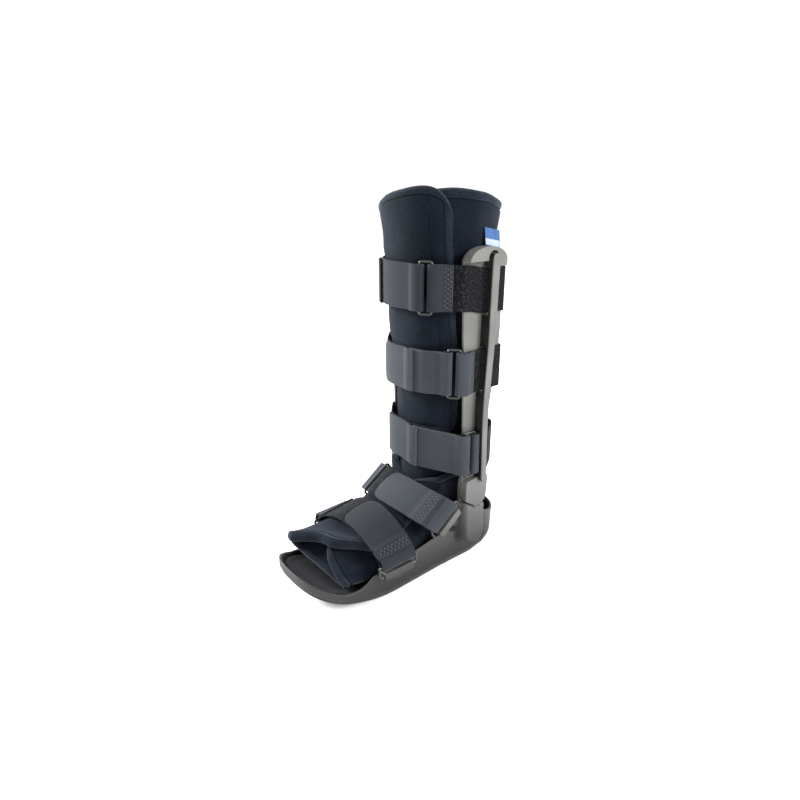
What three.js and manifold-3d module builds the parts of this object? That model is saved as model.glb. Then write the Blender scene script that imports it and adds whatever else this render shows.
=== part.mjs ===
// Tall walking boot for a lower leg: a rigid shell with a rocker sole, two side
// struts, a padded wrap for leg and foot, and five straps with wire rings.
// Millimetres, +Z up, toe towards -Y, origin at the middle of the footprint.

import * as THREE from 'three';
import { mergeVertices } from 'three/addons/utils/BufferGeometryUtils.js';
import Module from 'manifold-3d';

// Driving dimensions
const SHELL_LENGTH = 288;
const HALF_LENGTH = SHELL_LENGTH / 2;
const GAP = 0.3;
const LEG_AXIS_Y = 64;

// Sole and rocker
const TOE_SPRING = 30;
const HEEL_LIFT = 12;
const ROCKER_FRONT_Y = -40;
const ROCKER_BACK_Y = 75;
const ROCKER_POWER = 1.8;
const OUTSOLE_THICKNESS = 3;
const SHELL_FLOOR = 3;
const WALL_THICKNESS = 3.2;
const INSOLE_THICKNESS = 5;
const INSOLE_MARGIN = 3.6;

// Footprint: toe and heel are superellipses, the sides follow this table.
const TOE_ROUND = 52;
const HEEL_ROUND = 46;
const TOE_POWER = 2.7;
const HEEL_POWER = 2.25;
const SIDE = [
  { y: -92, base: 55.5, rim: 58, top: 27 },
  { y: -80, base: 55.5, rim: 58.5, top: 30 },
  { y: -70, base: 55.5, rim: 58.8, top: 36 },
  { y: -55, base: 55, rim: 59, top: 38.5 },
  { y: -35, base: 54, rim: 59, top: 41.5 },
  { y: -12, base: 52.5, rim: 59, top: 45 },
  { y: 8, base: 51, rim: 59, top: 49 },
  { y: 22, base: 50, rim: 59, top: 54.5 },
  { y: 27, base: 49.8, rim: 59, top: 58 },
  { y: 36, base: 49.4, rim: 59, top: 68 },
  { y: 45, base: 49, rim: 59, top: 79 },
  { y: 50.4, base: 49, rim: 59, top: 87 },
  { y: 51, base: 49, rim: 59, top: 110 },
  { y: 54, base: 49, rim: 59, top: 121 },
  { y: 62, base: 48.5, rim: 59, top: 127 },
  { y: 76, base: 48, rim: 59, top: 127 },
  { y: 84, base: 48, rim: 58.4, top: 121 },
  { y: 87, base: 47.8, rim: 57.6, top: 104 },
  { y: 90, base: 47.6, rim: 56.6, top: 80 },
  { y: 94, base: 47.2, rim: 54.5, top: 66 },
  { y: 98, base: 46.5, rim: 52.5, top: 58 },
];
const TOE_RIM = [
  { y: -144, top: 45 },
  { y: -136, top: 41.5 },
  { y: -124, top: 35 },
  { y: -110, top: 29 },
  { y: -92, top: 27 },
];
const HEEL_RIM = [
  { y: 98, top: 58 },
  { y: 112, top: 51 },
  { y: 125, top: 48 },
  { y: 144, top: 47 },
];
const FLARE_HEIGHT = 70;

// Struts
const PLATE_IN = 59.3;
const PLATE_OUT = 62.5;
const BLOCK_OUT = 70;
const HEAD_OUT = 72;
const RAIL_OUT = 76;
const RAIL_WIDTH = 10.6;
const STRUT_TOP = 379;
const HEAD_BASE = 365;
const BLOCK_TOP = 114;
const SEAM = { cornerZ: 91, lowZ: 79, frontY: 50.8, lowY: 69, rearY: 84 };
const PLATE = [
  { z: 114, front: 50.8, rear: 88 },
  { z: 182, front: 50, rear: 90 },
  { z: 220, front: 48.5, rear: 94 },
  { z: 290, front: 45.5, rear: 102 },
  { z: 340, front: 43.5, rear: 101.5 },
  { z: 362, front: 42, rear: 98 },
];
const RAIL = [
  { z: 112, front: 69 },
  { z: 182, front: 67 },
  { z: 220, front: 67.8 },
  { z: 290, front: 71 },
  { z: 340, front: 71.5 },
  { z: 372, front: 72.5 },
];
const STRAP_SLOT_DEPTH = 9;
const SLOT_MARGIN = 2;

// Leg wrap: half widths of its rounded section against height.
const WRAP_THICKNESS = 7;
const WRAP_STEP = WRAP_THICKNESS + 0.4;
const WRAP_POWER = 2.15;
const LEG_SECTION = [
  { z: 118, side: 47, front: 47, rear: 50 },
  { z: 150, side: 47, front: 43, rear: 50 },
  { z: 200, side: 48, front: 41.5, rear: 51 },
  { z: 232, side: 49.5, front: 43, rear: 52 },
  { z: 272, side: 54, front: 50, rear: 56 },
  { z: 310, side: 57, front: 52.5, rear: 58 },
  { z: 362, side: 58, front: 58, rear: 60 },
  { z: 390, side: 58.6, front: 60.5, rear: 61.5 },
  { z: 415, side: 64.5, front: 64, rear: 63 },
  { z: 440, side: 66.5, front: 66.5, rear: 64.5 },
];
const LEG_BASE = 118.4;
const WRAP_REACH = 434;
const WRAP_START = -40;
const FLAP_EDGE = [
  { z: 118, angle: 78 },
  { z: 212, angle: 78 },
  { z: 272, angle: 73 },
  { z: 304, angle: 68 },
  { z: 368, angle: 64 },
  { z: 440, angle: 60 },
];
const WRAP_TOP = [
  { angle: -40, top: 428 },
  { angle: 20, top: 432 },
  { angle: 62, top: 436 },
  { angle: 91, top: 432 },
  { angle: 116, top: 425 },
  { angle: 180, top: 416 },
  { angle: 250, top: 411 },
  { angle: 300, top: 410 },
  { angle: 328, top: 420 },
  { angle: 367, top: 434 },
  { angle: 392, top: 438 },
  { angle: 440, top: 438 },
];
const FLAP_BOTTOM = 180;
const FLAP_CORNER = { angle: 15, height: 34 };

// Foot wrap: half width, underside and top of its section along the foot.
const FOOT_SECTION = [
  { y: -122, half: 48, top: 63, power: 3.4 },
  { y: -100, half: 50, top: 65, power: 3.4 },
  { y: -70, half: 51, top: 68, power: 3 },
  { y: -40, half: 50.5, top: 75, power: 2.5 },
  { y: -20, half: 49.5, top: 86, power: 2.3 },
  { y: 0, half: 48, top: 97, power: 2.3 },
  { y: 17, half: 46.5, top: 106, power: 2.3 },
  { y: 40, half: 45, top: 114, power: 2.4 },
  { y: 90, half: 43.5, top: 118, power: 2.6 },
];
const FOOT_FRONT_Y = -122;
const FOOT_FRONT = [
  { angle: -22, y: -99 },
  { angle: 120, y: -103 },
  { angle: 180, y: -105 },
  { angle: 240, y: -110 },
  { angle: 275, y: -118 },
  { angle: 312, y: -122 },
  { angle: 335, y: -113 },
  { angle: 360, y: -98 },
  { angle: 385, y: -78 },
  { angle: 420, y: -60 },
];
const FOOT_LAP = { start: -22, end: 420 };
const TOE_PANEL = { turn: 105, half: 46, low: 33, high: 57, fromY: -60, toY: -118 };
const FOOT_BACK_Y = 133;
const ANKLE_BACK_Y = 115;
const FOOT_TOP = 118;
const HEEL_START_Y = 85;
const WRAP_REST = 0.8;
const FLAP_END_Y = 10;
const ARMS_START_Y = 34;
const ARM = { corner: 0.42, round: 22, power: 2.6, heelTop: 58 };
const FOOT_INNER_LAP = { from: 64, to: 92 };

// Straps and rings
const STRAP = 2.2;
const TAB = 2;
const WIRE = 3;
const FOLD = 3.6;
const LEG_STRAP_HEIGHT = 48;
const RING_HEIGHT = 57;
const RING_BARS = 13;
const RING_STRAIGHT = 12;
const SLACK = { angle: 318, full: 5, none: 45 };
const STRIP_ZONE = { from: 30, to: 66 };
const RING_SPAN = 5;
const LEG_STRAPS = [
  { name: 'calf_top', z: 338.5, ring: 37, seam: 10, tab: -33, slack: 0, tilt: [] },
  { name: 'calf_mid', z: 246, ring: 66, seam: 22, tab: -36, slack: 2, tilt: [] },
  {
    name: 'ankle', z: 150, ring: 83, seam: 25, tab: -42, slack: 3,
    tilt: [
      { angle: -180, rise: 2 },
      { angle: -90, rise: 3 },
      { angle: -40, rise: 7 },
      { angle: -11, rise: 8 },
      { angle: 25, rise: 2 },
      { angle: 65, rise: -3 },
      { angle: 100, rise: -6 },
      { angle: 150, rise: 0 },
      { angle: 180, rise: 2 },
    ],
  },
];
const FOOT_STRAPS = [
  {
    name: 'instep', y: 21.5, z: 80, lean: 51, ringSlope: 38, topSlope: 29, crown: 34,
    width: 42, ringX: 64.6, tab: -24, seam: 55,
  },
  {
    name: 'toe', y: -46, z: 51, lean: 4, ringSlope: 2, topSlope: 13, crown: 28,
    width: 45, ringX: 65.6, tab: -14, seam: 62,
  },
];
const FOOT_RING_BARS = 12;
const FOOT_RING_EXTRA = 8;
const FOOT_CENTRE = 8;
const BAR_RUN = 4;
const FOOT_TRACK_END = 96;
const FOOT_STRAP_REACH = { front: 70, back: 30, margin: 4, below: 2, turnFrom: 4 };
const SEWN_LAP = 24;
const SEAM_WIDTH = 7;
const TRACK_STEP = 1.5;
const TRACK_TOLERANCE = 0.14;
const LEG_STRAP_LIFT = 0.6;
const FOOT_STRAP_LIFT = 1.6;
const STRIP = { bottom: 186, top: 408, from: 24, to: 11, thickness: 0.9 };
const STRIP_ROWS = 9;
const STRIP_LIFT = 0.9;
const FOOT_STRIP = { fromY: -33, toY: -16, from: 43, to: 58, thickness: 0.5 };
const TAG = { x: 61.2, y: 83, z: 380.5, width: 22, height: 15, out: 2.4, slope: 0.2, thickness: 0.8 };

const BOSS_OUT = 69;
const BOSS = { height: 9, footHeight: 12, footInset: 3, endInset: 2.5, clearance: 0.45 };
const EYE = { y: 39, z: 56, radius: 2.6, stretch: 1.5 };
const OUTER_PARTS_FROM = 48;
const SHELL_TOP = 127;
const COLORS = {
  shell: 0x636361, sole: 0x1c1c1e, strut: 0x8f8f8a, wrap: 0x2c313a,
  strap: 0x4b4f57, tab: 0x44464c, wire: 0x2a2b2e, insole: 0x3a3739,
  tag: 0x3f6fb5,
};

const wasm = await Module();
wasm.setup();

const boot = new THREE.Group();

// Numbers along a table
function along(table, key, value, at) {
  const last = table.length - 1;
  if (at <= table[0][key]) return table[0][value];
  if (at >= table[last][key]) return table[last][value];
  const i = table.findIndex((row, k) => k < last && at <= table[k + 1][key]);
  const t = (at - table[i][key]) / (table[i + 1][key] - table[i][key]);
  return THREE.MathUtils.lerp(table[i][value], table[i + 1][value], t);
}

function between(from, to, share) {
  return from.map((value, k) => THREE.MathUtils.lerp(value, to[k], share));
}

function radians(angle) {
  return THREE.MathUtils.degToRad(angle);
}

function steps(from, to, count) {
  return Array.from({ length: count + 1 }, (_, i) => from + (to - from) * i / count);
}

// A point of a superellipse, with angle 0 on its second axis
function superPoint(angle, a, b, power) {
  const s = Math.sin(angle);
  const c = Math.cos(angle);
  const x = a * Math.sign(s) * Math.abs(s) ** (2 / power);
  const y = b * Math.sign(c) * Math.abs(c) ** (2 / power);
  return [x, y];
}

// Meshes
function geometryOf(points, triangles) {
  const geometry = new THREE.BufferGeometry();
  geometry.setAttribute('position', new THREE.Float32BufferAttribute(points.flat(), 3));
  geometry.setIndex(triangles.flat());
  return geometry;
}

function volumeOf(points, triangles) {
  let sum = 0;
  for (const [i, j, k] of triangles) {
    const [a, b, c] = [points[i], points[j], points[k]];
    sum += a[0] * (b[1] * c[2] - b[2] * c[1]);
    sum += a[1] * (b[2] * c[0] - b[0] * c[2]);
    sum += a[2] * (b[0] * c[1] - b[1] * c[0]);
  }
  return sum / 6;
}

function closedGeometry(points, triangles) {
  const faces = volumeOf(points, triangles) < 0
    ? triangles.map(([i, j, k]) => [i, k, j])
    : triangles;
  return geometryOf(points, faces);
}

function toSolid(geometry) {
  const bare = geometry.clone();
  bare.deleteAttribute('normal');
  bare.deleteAttribute('uv');
  const merged = mergeVertices(bare, 1e-4);
  const vertProperties = new Float32Array(merged.attributes.position.array);
  const triVerts = new Uint32Array(merged.index.array);
  return new wasm.Manifold(new wasm.Mesh({ numProp: 3, vertProperties, triVerts }));
}

function toGeometry(solid) {
  const mesh = solid.getMesh();
  const geometry = new THREE.BufferGeometry();
  geometry.setAttribute('position', new THREE.Float32BufferAttribute(mesh.vertProperties, 3));
  geometry.setIndex(Array.from(mesh.triVerts));
  return geometry;
}

function addMesh(name, geometry, color, roughness = 0.7, metalness = 0) {
  const material = new THREE.MeshStandardMaterial({ color, roughness, metalness });
  const mesh = new THREE.Mesh(geometry, material);
  mesh.name = name;
  boot.add(mesh);
  return mesh;
}

function mirrored(geometry) {
  const copy = geometry.index ? geometry.toNonIndexed() : geometry.clone();
  const position = copy.attributes.position;
  for (let i = 0; i < position.count; i += 3) {
    const corners = [0, 2, 1].map((k) => new THREE.Vector3().fromBufferAttribute(position, i + k));
    corners.forEach((corner, k) => position.setXYZ(i + k, -corner.x, corner.y, corner.z));
  }
  return copy;
}

// A closed slab between two grids of points of the same size
function slabGeometry(front, behind) {
  const rows = front.length;
  const columns = front[0].length;
  const points = [...front.flat(), ...behind.flat()];
  const back = rows * columns;
  const triangles = [];
  const quad = (a, b, c, d) => triangles.push([a, b, c], [a, c, d]);
  for (let i = 0; i < rows - 1; i += 1) {
    for (let j = 0; j < columns - 1; j += 1) {
      const a = i * columns + j;
      quad(a, a + 1, a + columns + 1, a + columns);
      quad(back + a, back + a + columns, back + a + columns + 1, back + a + 1);
    }
  }
  const rim = [];
  for (let j = 0; j < columns - 1; j += 1) rim.push(j);
  for (let i = 0; i < rows - 1; i += 1) rim.push(i * columns + columns - 1);
  for (let j = columns - 1; j > 0; j -= 1) rim.push((rows - 1) * columns + j);
  for (let i = rows - 1; i > 0; i -= 1) rim.push(i * columns);
  rim.forEach((a, k) => {
    const b = rim[(k + 1) % rim.length];
    quad(a, back + a, back + b, b);
  });
  return closedGeometry(points, triangles);
}

// A slab whose front is the grid and whose back lies behind it by the
// thickness, along the grid's own normals
function sheetGeometry(grid, thickness) {
  const rows = grid.length;
  const columns = grid[0].length;
  const vector = (i, j) => new THREE.Vector3(...grid[i][j]);
  const behind = grid.map((line, i) => line.map((_, j) => {
    const alongRow = vector(i, Math.min(j + 1, columns - 1)).sub(vector(i, Math.max(j - 1, 0)));
    const alongColumn = vector(Math.min(i + 1, rows - 1), j).sub(vector(Math.max(i - 1, 0), j));
    const normal = alongRow.cross(alongColumn).normalize();
    return vector(i, j).addScaledVector(normal, -thickness).toArray();
  }));
  return slabGeometry(grid, behind);
}

// A closed bowl or slab from rings of points that start at the toe and run
// round the near side, the heel and the far side. First and last rings are
// closed by rungs between points that mirror each other.
function ringGeometry(rings) {
  const count = rings[0].length;
  const points = rings.flat();
  const triangles = [];
  for (let r = 0; r < rings.length - 1; r += 1) {
    for (let i = 0; i < count; i += 1) {
      const a = r * count + i;
      const b = r * count + (i + 1) % count;
      triangles.push([a, b, b + count], [a, b + count, a + count]);
    }
  }
  const half = count / 2;
  const last = (rings.length - 1) * count;
  for (let i = 0; i < half; i += 1) {
    const near = [i, i + 1];
    const far = [(count - i) % count, count - i - 1];
    const corners = [near[0], near[1], far[1], far[0]];
    const faces = [[corners[0], corners[2], corners[1]], [corners[0], corners[3], corners[2]]];
    for (const face of faces) {
      if (new Set(face).size < 3) continue;
      triangles.push(face);
      triangles.push([last + face[0], last + face[2], last + face[1]]);
    }
  }
  return closedGeometry(points, triangles);
}

// Footprint stations from the toe's tip along the near side to the heel's end
function footprint() {
  const toe = steps(0, 90, 10).map((angle) => {
    const [x, y] = superPoint(radians(angle), 1, TOE_ROUND, TOE_POWER);
    return { y: -HALF_LENGTH + TOE_ROUND - y, share: x };
  });
  const sides = SIDE.slice(1, -1).map((row) => ({ y: row.y, share: 1 }));
  const heel = steps(90, 0, 9).map((angle) => {
    const [x, y] = superPoint(radians(angle), 1, HEEL_ROUND, HEEL_POWER);
    return { y: HALF_LENGTH - HEEL_ROUND + y, share: x };
  });
  return [...toe, ...sides, ...heel];
}

const STATIONS = footprint();

function soleHeight(y) {
  if (y < ROCKER_FRONT_Y) {
    const t = (ROCKER_FRONT_Y - y) / (ROCKER_FRONT_Y + HALF_LENGTH);
    return TOE_SPRING * Math.max(t, 0) ** ROCKER_POWER;
  }
  if (y > ROCKER_BACK_Y) {
    return HEEL_LIFT * ((y - ROCKER_BACK_Y) / (HALF_LENGTH - ROCKER_BACK_Y)) ** ROCKER_POWER;
  }
  return 0;
}

function rimHeight(y) {
  if (y < SIDE[0].y) return along(TOE_RIM, 'y', 'top', y);
  if (y > SIDE[SIDE.length - 1].y) return along(HEEL_RIM, 'y', 'top', y);
  return along(SIDE, 'y', 'top', y);
}

// One ring of the footprint: moved inwards by inset, at the height that
// heightOf gives for each station, and wider with height as the walls lean out.
function footRing(inset, heightOf) {
  const near = STATIONS.map(({ y: station, share }) => {
    const end = share < 1 ? Math.sqrt(1 - share * share) * inset * Math.sign(station) : 0;
    const y = station - end;
    const z = heightOf(y);
    const lean = THREE.MathUtils.clamp((z - soleHeight(y)) / FLARE_HEIGHT, 0, 1);
    const half = THREE.MathUtils.lerp(along(SIDE, 'y', 'base', y), along(SIDE, 'y', 'rim', y), lean);
    return [Math.max(share * half - inset * Math.max(share, 0.25), 0), y, z];
  });
  near[0][0] = 0;
  near[near.length - 1][0] = 0;
  const far = near.slice(1, -1).reverse().map(([x, y, z]) => [-x, y, z]);
  return [...near, ...far];
}

function shellBase(y) {
  return soleHeight(y) + OUTSOLE_THICKNESS + GAP;
}

function floorHeight(y) {
  return shellBase(y) + SHELL_FLOOR;
}

function insoleTop(y) {
  return floorHeight(y) + GAP + INSOLE_THICKNESS;
}

function outsole() {
  const rings = [
    footRing(6, soleHeight),
    footRing(2.5, (y) => soleHeight(y) + 1),
    footRing(2, (y) => soleHeight(y) + OUTSOLE_THICKNESS),
  ];
  return ringGeometry(rings);
}

function insole() {
  const inset = WALL_THICKNESS + INSOLE_MARGIN;
  const rings = [
    footRing(inset, (y) => floorHeight(y) + GAP),
    footRing(inset, (y) => insoleTop(y) - 1.5),
    footRing(inset + 1.5, insoleTop),
  ];
  return ringGeometry(rings);
}

function shellBowl() {
  const shoulder = (y) => Math.min(shellBase(y) + 12, (shellBase(y) + rimHeight(y)) / 2);
  const rings = [
    footRing(2.2, shellBase),
    footRing(0, (y) => shellBase(y) + 3),
    footRing(0, shoulder),
    footRing(0, (y) => rimHeight(y) - 1),
    footRing(0.9, rimHeight),
    footRing(WALL_THICKNESS, rimHeight),
    footRing(WALL_THICKNESS, (y) => floorHeight(y) + 2),
    footRing(WALL_THICKNESS + 1.5, floorHeight),
  ];
  return toSolid(ringGeometry(rings));
}

// A plate drawn in the side view (y, z), thick along X
function sidePlate(shape, fromX, toX, bevel = 0) {
  const geometry = new THREE.ExtrudeGeometry(shape, {
    depth: toX - fromX - 2 * bevel,
    bevelEnabled: bevel > 0,
    bevelThickness: bevel,
    bevelSize: bevel,
    bevelOffset: -bevel,
    bevelSegments: 1,
    curveSegments: 5,
  });
  const turn = new THREE.Matrix4().makeBasis(
    new THREE.Vector3(0, 1, 0),
    new THREE.Vector3(0, 0, 1),
    new THREE.Vector3(1, 0, 0),
  );
  geometry.applyMatrix4(turn);
  geometry.translate(fromX + bevel, 0, 0);
  return geometry;
}

function polygon(points) {
  return new THREE.Shape(points.map(([y, z]) => new THREE.Vector2(y, z)));
}

// Socket on the shell's wall that takes the strut's lower end
function socketShape() {
  const { cornerZ, lowZ, frontY, lowY, rearY } = SEAM;
  const shape = new THREE.Shape();
  shape.moveTo(frontY, cornerZ - 2 * GAP);
  shape.lineTo(lowY, lowZ - 2 * GAP);
  shape.lineTo(rearY - 3, cornerZ - 7);
  shape.lineTo(rearY, cornerZ - 2 * GAP);
  shape.lineTo(rearY + 1.5, 66);
  shape.quadraticCurveTo(rearY + 1, 28, 67, 27);
  shape.quadraticCurveTo(frontY - 1, 28, frontY - 1, 48);
  return shape;
}

function ringBoss(strap) {
  const half = strap.width / 2 - BOSS.endInset;
  const depth = BOSS_OUT - OUTER_PARTS_FROM;
  const box = new THREE.BoxGeometry(depth, 2 * half, BOSS.height);
  box.translate(OUTER_PARTS_FROM + depth / 2, 0, -FOOT_RING_BARS);
  const footDepth = depth - BOSS.footInset;
  const foot = new THREE.BoxGeometry(footDepth, half, BOSS.footHeight);
  foot.translate(OUTER_PARTS_FROM + footDepth / 2, 0, -FOOT_RING_BARS - BOSS.height);
  const bore = WIRE / 2 + BOSS.clearance;
  const tunnel = new THREE.CylinderGeometry(bore, bore, 4 * half, 8);
  tunnel.translate(strap.ringX, 0, -FOOT_RING_BARS);
  const place = new THREE.Matrix4().makeRotationX(radians(strap.ringSlope));
  place.setPosition(0, strap.y, strap.z);
  const [bossSolid, footSolid, hole] = [box, foot, tunnel].map((piece) => {
    piece.applyMatrix4(place);
    return toSolid(piece);
  });
  return { solid: bossSolid.add(footSolid), hole };
}

// The room inside the walls, reaching well above the rim
function shellRoom() {
  const inset = WALL_THICKNESS - 0.6;
  const rings = [
    footRing(inset, (y) => shellBase(y) + 1),
    footRing(inset, rimHeight),
    footRing(inset, () => SHELL_TOP + 20),
  ];
  return toSolid(ringGeometry(rings));
}

function shell() {
  const socket = sidePlate(socketShape(), OUTER_PARTS_FROM, BLOCK_OUT, 2);
  let outer = toSolid(socket).add(toSolid(mirrored(socket)));
  const mirror = [-1, 0, 0];
  const holes = [];
  for (const strap of FOOT_STRAPS) {
    const boss = ringBoss(strap);
    outer = outer.add(boss.solid).add(boss.solid.mirror(mirror));
    holes.push(boss.hole, boss.hole.mirror(mirror));
  }
  let solid = shellBowl().add(outer.subtract(shellRoom()));
  for (const hole of holes) solid = solid.subtract(hole);
  const hole = new THREE.CylinderGeometry(EYE.radius, EYE.radius, 2 * BOSS_OUT, 8);
  hole.rotateZ(Math.PI / 2);
  hole.scale(1, EYE.stretch, 1);
  hole.translate(0, EYE.y, EYE.z);
  solid = solid.subtract(toSolid(hole));
  return toGeometry(solid);
}

// Strut: plate, lower block, head and a rail that bridges the straps
function plateShape() {
  const front = PLATE.map((row) => [row.front, row.z]);
  const rear = PLATE.map((row) => [row.rear, row.z]).reverse();
  const shape = polygon([
    [SEAM.frontY, SEAM.cornerZ],
    [SEAM.lowY, SEAM.lowZ],
    [SEAM.rearY, SEAM.cornerZ],
  ]);
  const outline = new THREE.Shape();
  const base = shape.getPoints();
  outline.moveTo(base[0].x, base[0].y);
  for (const [y, z] of front) outline.lineTo(y, z);
  const top = PLATE[PLATE.length - 1];
  const middle = (top.front + top.rear) / 2;
  outline.bezierCurveTo(top.front, STRUT_TOP - 4, middle - 16, STRUT_TOP, middle, STRUT_TOP);
  outline.bezierCurveTo(middle + 16, STRUT_TOP, top.rear, STRUT_TOP - 4, top.rear, top.z);
  for (const [y, z] of rear.slice(1)) outline.lineTo(y, z);
  outline.lineTo(base[2].x, base[2].y);
  outline.lineTo(base[1].x, base[1].y);
  return outline;
}

function blockShape() {
  const shape = new THREE.Shape();
  shape.moveTo(SEAM.frontY, SEAM.cornerZ);
  shape.lineTo(SEAM.lowY, SEAM.lowZ);
  shape.lineTo(SEAM.rearY - 3, SEAM.cornerZ - 7);
  shape.lineTo(SEAM.rearY, SEAM.cornerZ);
  shape.lineTo(SEAM.rearY + 1, BLOCK_TOP + 4);
  shape.lineTo(SEAM.frontY, BLOCK_TOP);
  return shape;
}

function headShape() {
  const top = PLATE[PLATE.length - 1];
  const middle = (top.front + top.rear) / 2;
  const shape = new THREE.Shape();
  shape.moveTo(top.front, HEAD_BASE);
  shape.bezierCurveTo(top.front, STRUT_TOP - 4, middle - 16, STRUT_TOP, middle, STRUT_TOP);
  shape.bezierCurveTo(middle + 16, STRUT_TOP, top.rear, STRUT_TOP - 4, top.rear, HEAD_BASE);
  return shape;
}

function railShape() {
  const front = RAIL.map((row) => [row.front, row.z]);
  const rear = RAIL.map((row) => [row.front + RAIL_WIDTH, row.z]).reverse();
  return polygon([...front, ...rear]);
}

function strut(side) {
  const plate = toSolid(sidePlate(plateShape(), PLATE_IN, PLATE_OUT));
  const block = toSolid(sidePlate(blockShape(), PLATE_IN, BLOCK_OUT, 2));
  const head = toSolid(sidePlate(headShape(), PLATE_IN, HEAD_OUT, 2.5));
  let rail = toSolid(sidePlate(railShape(), PLATE_IN, RAIL_OUT, 2));
  for (const strap of LEG_STRAPS) {
    const rise = strap.tilt.length ? along(strap.tilt, 'angle', 'rise', side * 100) : 0;
    const height = LEG_STRAP_HEIGHT + 2 * SLOT_MARGIN;
    const slot = new THREE.BoxGeometry(STRAP_SLOT_DEPTH, 60, height);
    slot.translate(PLATE_OUT + STRAP_SLOT_DEPTH / 2, 75, strap.z + rise);
    rail = rail.subtract(toSolid(slot));
  }
  return toGeometry(plate.add(block).add(head).add(rail));
}

// Leg wrap: one long panel wound round the leg with a lapped front flap
function legPoint(angle, z, level) {
  const side = along(LEG_SECTION, 'z', 'side', z) + level;
  const t = radians(angle);
  const key = Math.cos(t) > 0 ? 'front' : 'rear';
  const depth = along(LEG_SECTION, 'z', key, z) + level;
  const [x, y] = superPoint(t, side, depth, WRAP_POWER);
  return [x, LEG_AXIS_Y - y, z];
}

function wrapLevel(angle, edge) {
  const rise = THREE.MathUtils.smoothstep(angle, edge + 3, edge + 30);
  return WRAP_STEP * (rise - 1);
}

function legWrap() {
  const columns = 44;
  const shares = LEG_SECTION.map(({ z }) => (z - LEG_BASE) / (WRAP_REACH - LEG_BASE));
  const grid = [];
  for (const height of [0, ...shares.slice(1, -1), 1]) {
    const line = [];
    for (let i = 0; i <= columns; i += 1) {
      const share = i / columns;
      let z = 0;
      let angle = 0;
      for (let pass = 0; pass < 3; pass += 1) {
        const edge = along(FLAP_EDGE, 'z', 'angle', z || 300);
        angle = WRAP_START + share * (360 + edge - WRAP_START);
        z = wrapHeight(angle, 360 + edge, height);
      }
      const edge = along(FLAP_EDGE, 'z', 'angle', z);
      line.push(legPoint(angle, z, angle < 180 ? wrapLevel(angle, edge) : 0));
    }
    grid.push(line);
  }
  return sheetGeometry(grid, WRAP_THICKNESS);
}

function wrapHeight(angle, end, share) {
  const left = Math.max(end - angle, 0);
  const near = Math.max(FLAP_CORNER.angle - left, 0) / FLAP_CORNER.angle;
  const drop = FLAP_CORNER.height * (1 - Math.sqrt(Math.max(1 - near ** 2.2, 0)));
  const top = along(WRAP_TOP, 'angle', 'top', angle) - drop;
  const lift = THREE.MathUtils.smoothstep(angle, 285, 345) * (FLAP_BOTTOM - LEG_BASE);
  return THREE.MathUtils.lerp(LEG_BASE + lift + drop * 0.7, top, share);
}

// Foot wrap: a trough under the foot whose two sides lap over the instep
function footBack(z) {
  const t = THREE.MathUtils.smoothstep(z, 55, FOOT_TOP);
  return THREE.MathUtils.lerp(FOOT_BACK_Y, ANKLE_BACK_Y, t);
}

function footHalf(y, z) {
  const half = along(FOOT_SECTION, 'y', 'half', y);
  if (y <= HEEL_START_Y) return half;
  const t = Math.min((y - HEEL_START_Y) / (footBack(z) - HEEL_START_Y), 1);
  return Math.max(half * (1 - t ** HEEL_POWER) ** (1 / HEEL_POWER), 0.4);
}

function footPoint(angle, y, level) {
  const low = insoleTop(y) + WRAP_REST;
  const high = along(FOOT_SECTION, 'y', 'top', y);
  const middle = (low + high) / 2;
  const t = radians(angle);
  const lift = (high - low) / 2;
  const power = along(FOOT_SECTION, 'y', 'power', y);
  const [x, z] = superPoint(t, footHalf(y, middle) + level, lift + level, power);
  return [x, y, middle + z];
}

function armPoint(share, y) {
  const low = insoleTop(y) + WRAP_REST;
  const heelDrop = THREE.MathUtils.clamp((y - ANKLE_BACK_Y) / (FOOT_BACK_Y - ANKLE_BACK_Y), 0, 1);
  const high = THREE.MathUtils.lerp(FOOT_TOP, ARM.heelTop, heelDrop ** 1.3);
  const side = Math.sign(share - 0.5);
  const reach = Math.abs(share - 0.5) * 2;
  const bend = low + ARM.round;
  if (reach < ARM.corner) {
    const t = reach / ARM.corner * Math.PI / 2;
    const [x, z] = superPoint(t, footHalf(y, bend), ARM.round, ARM.power);
    return [-side * x, y, bend - z];
  }
  const z = THREE.MathUtils.lerp(bend, high, (reach - ARM.corner) / (1 - ARM.corner));
  return [-side * footHalf(y, z), y, z];
}

// The near side panel leans in towards the toes, under the top flap
function toePanel(angle, [, y]) {
  const turn = angle / TOE_PANEL.turn;
  const down = THREE.MathUtils.clamp(turn, 0, 1);
  const z = THREE.MathUtils.lerp(TOE_PANEL.high, TOE_PANEL.low, down);
  return [TOE_PANEL.half * turn, y, z];
}

function toeLean(angle, y) {
  if (angle > TOE_PANEL.turn) return 0;
  return THREE.MathUtils.smoothstep(-y, -TOE_PANEL.fromY, -TOE_PANEL.toY);
}

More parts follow.
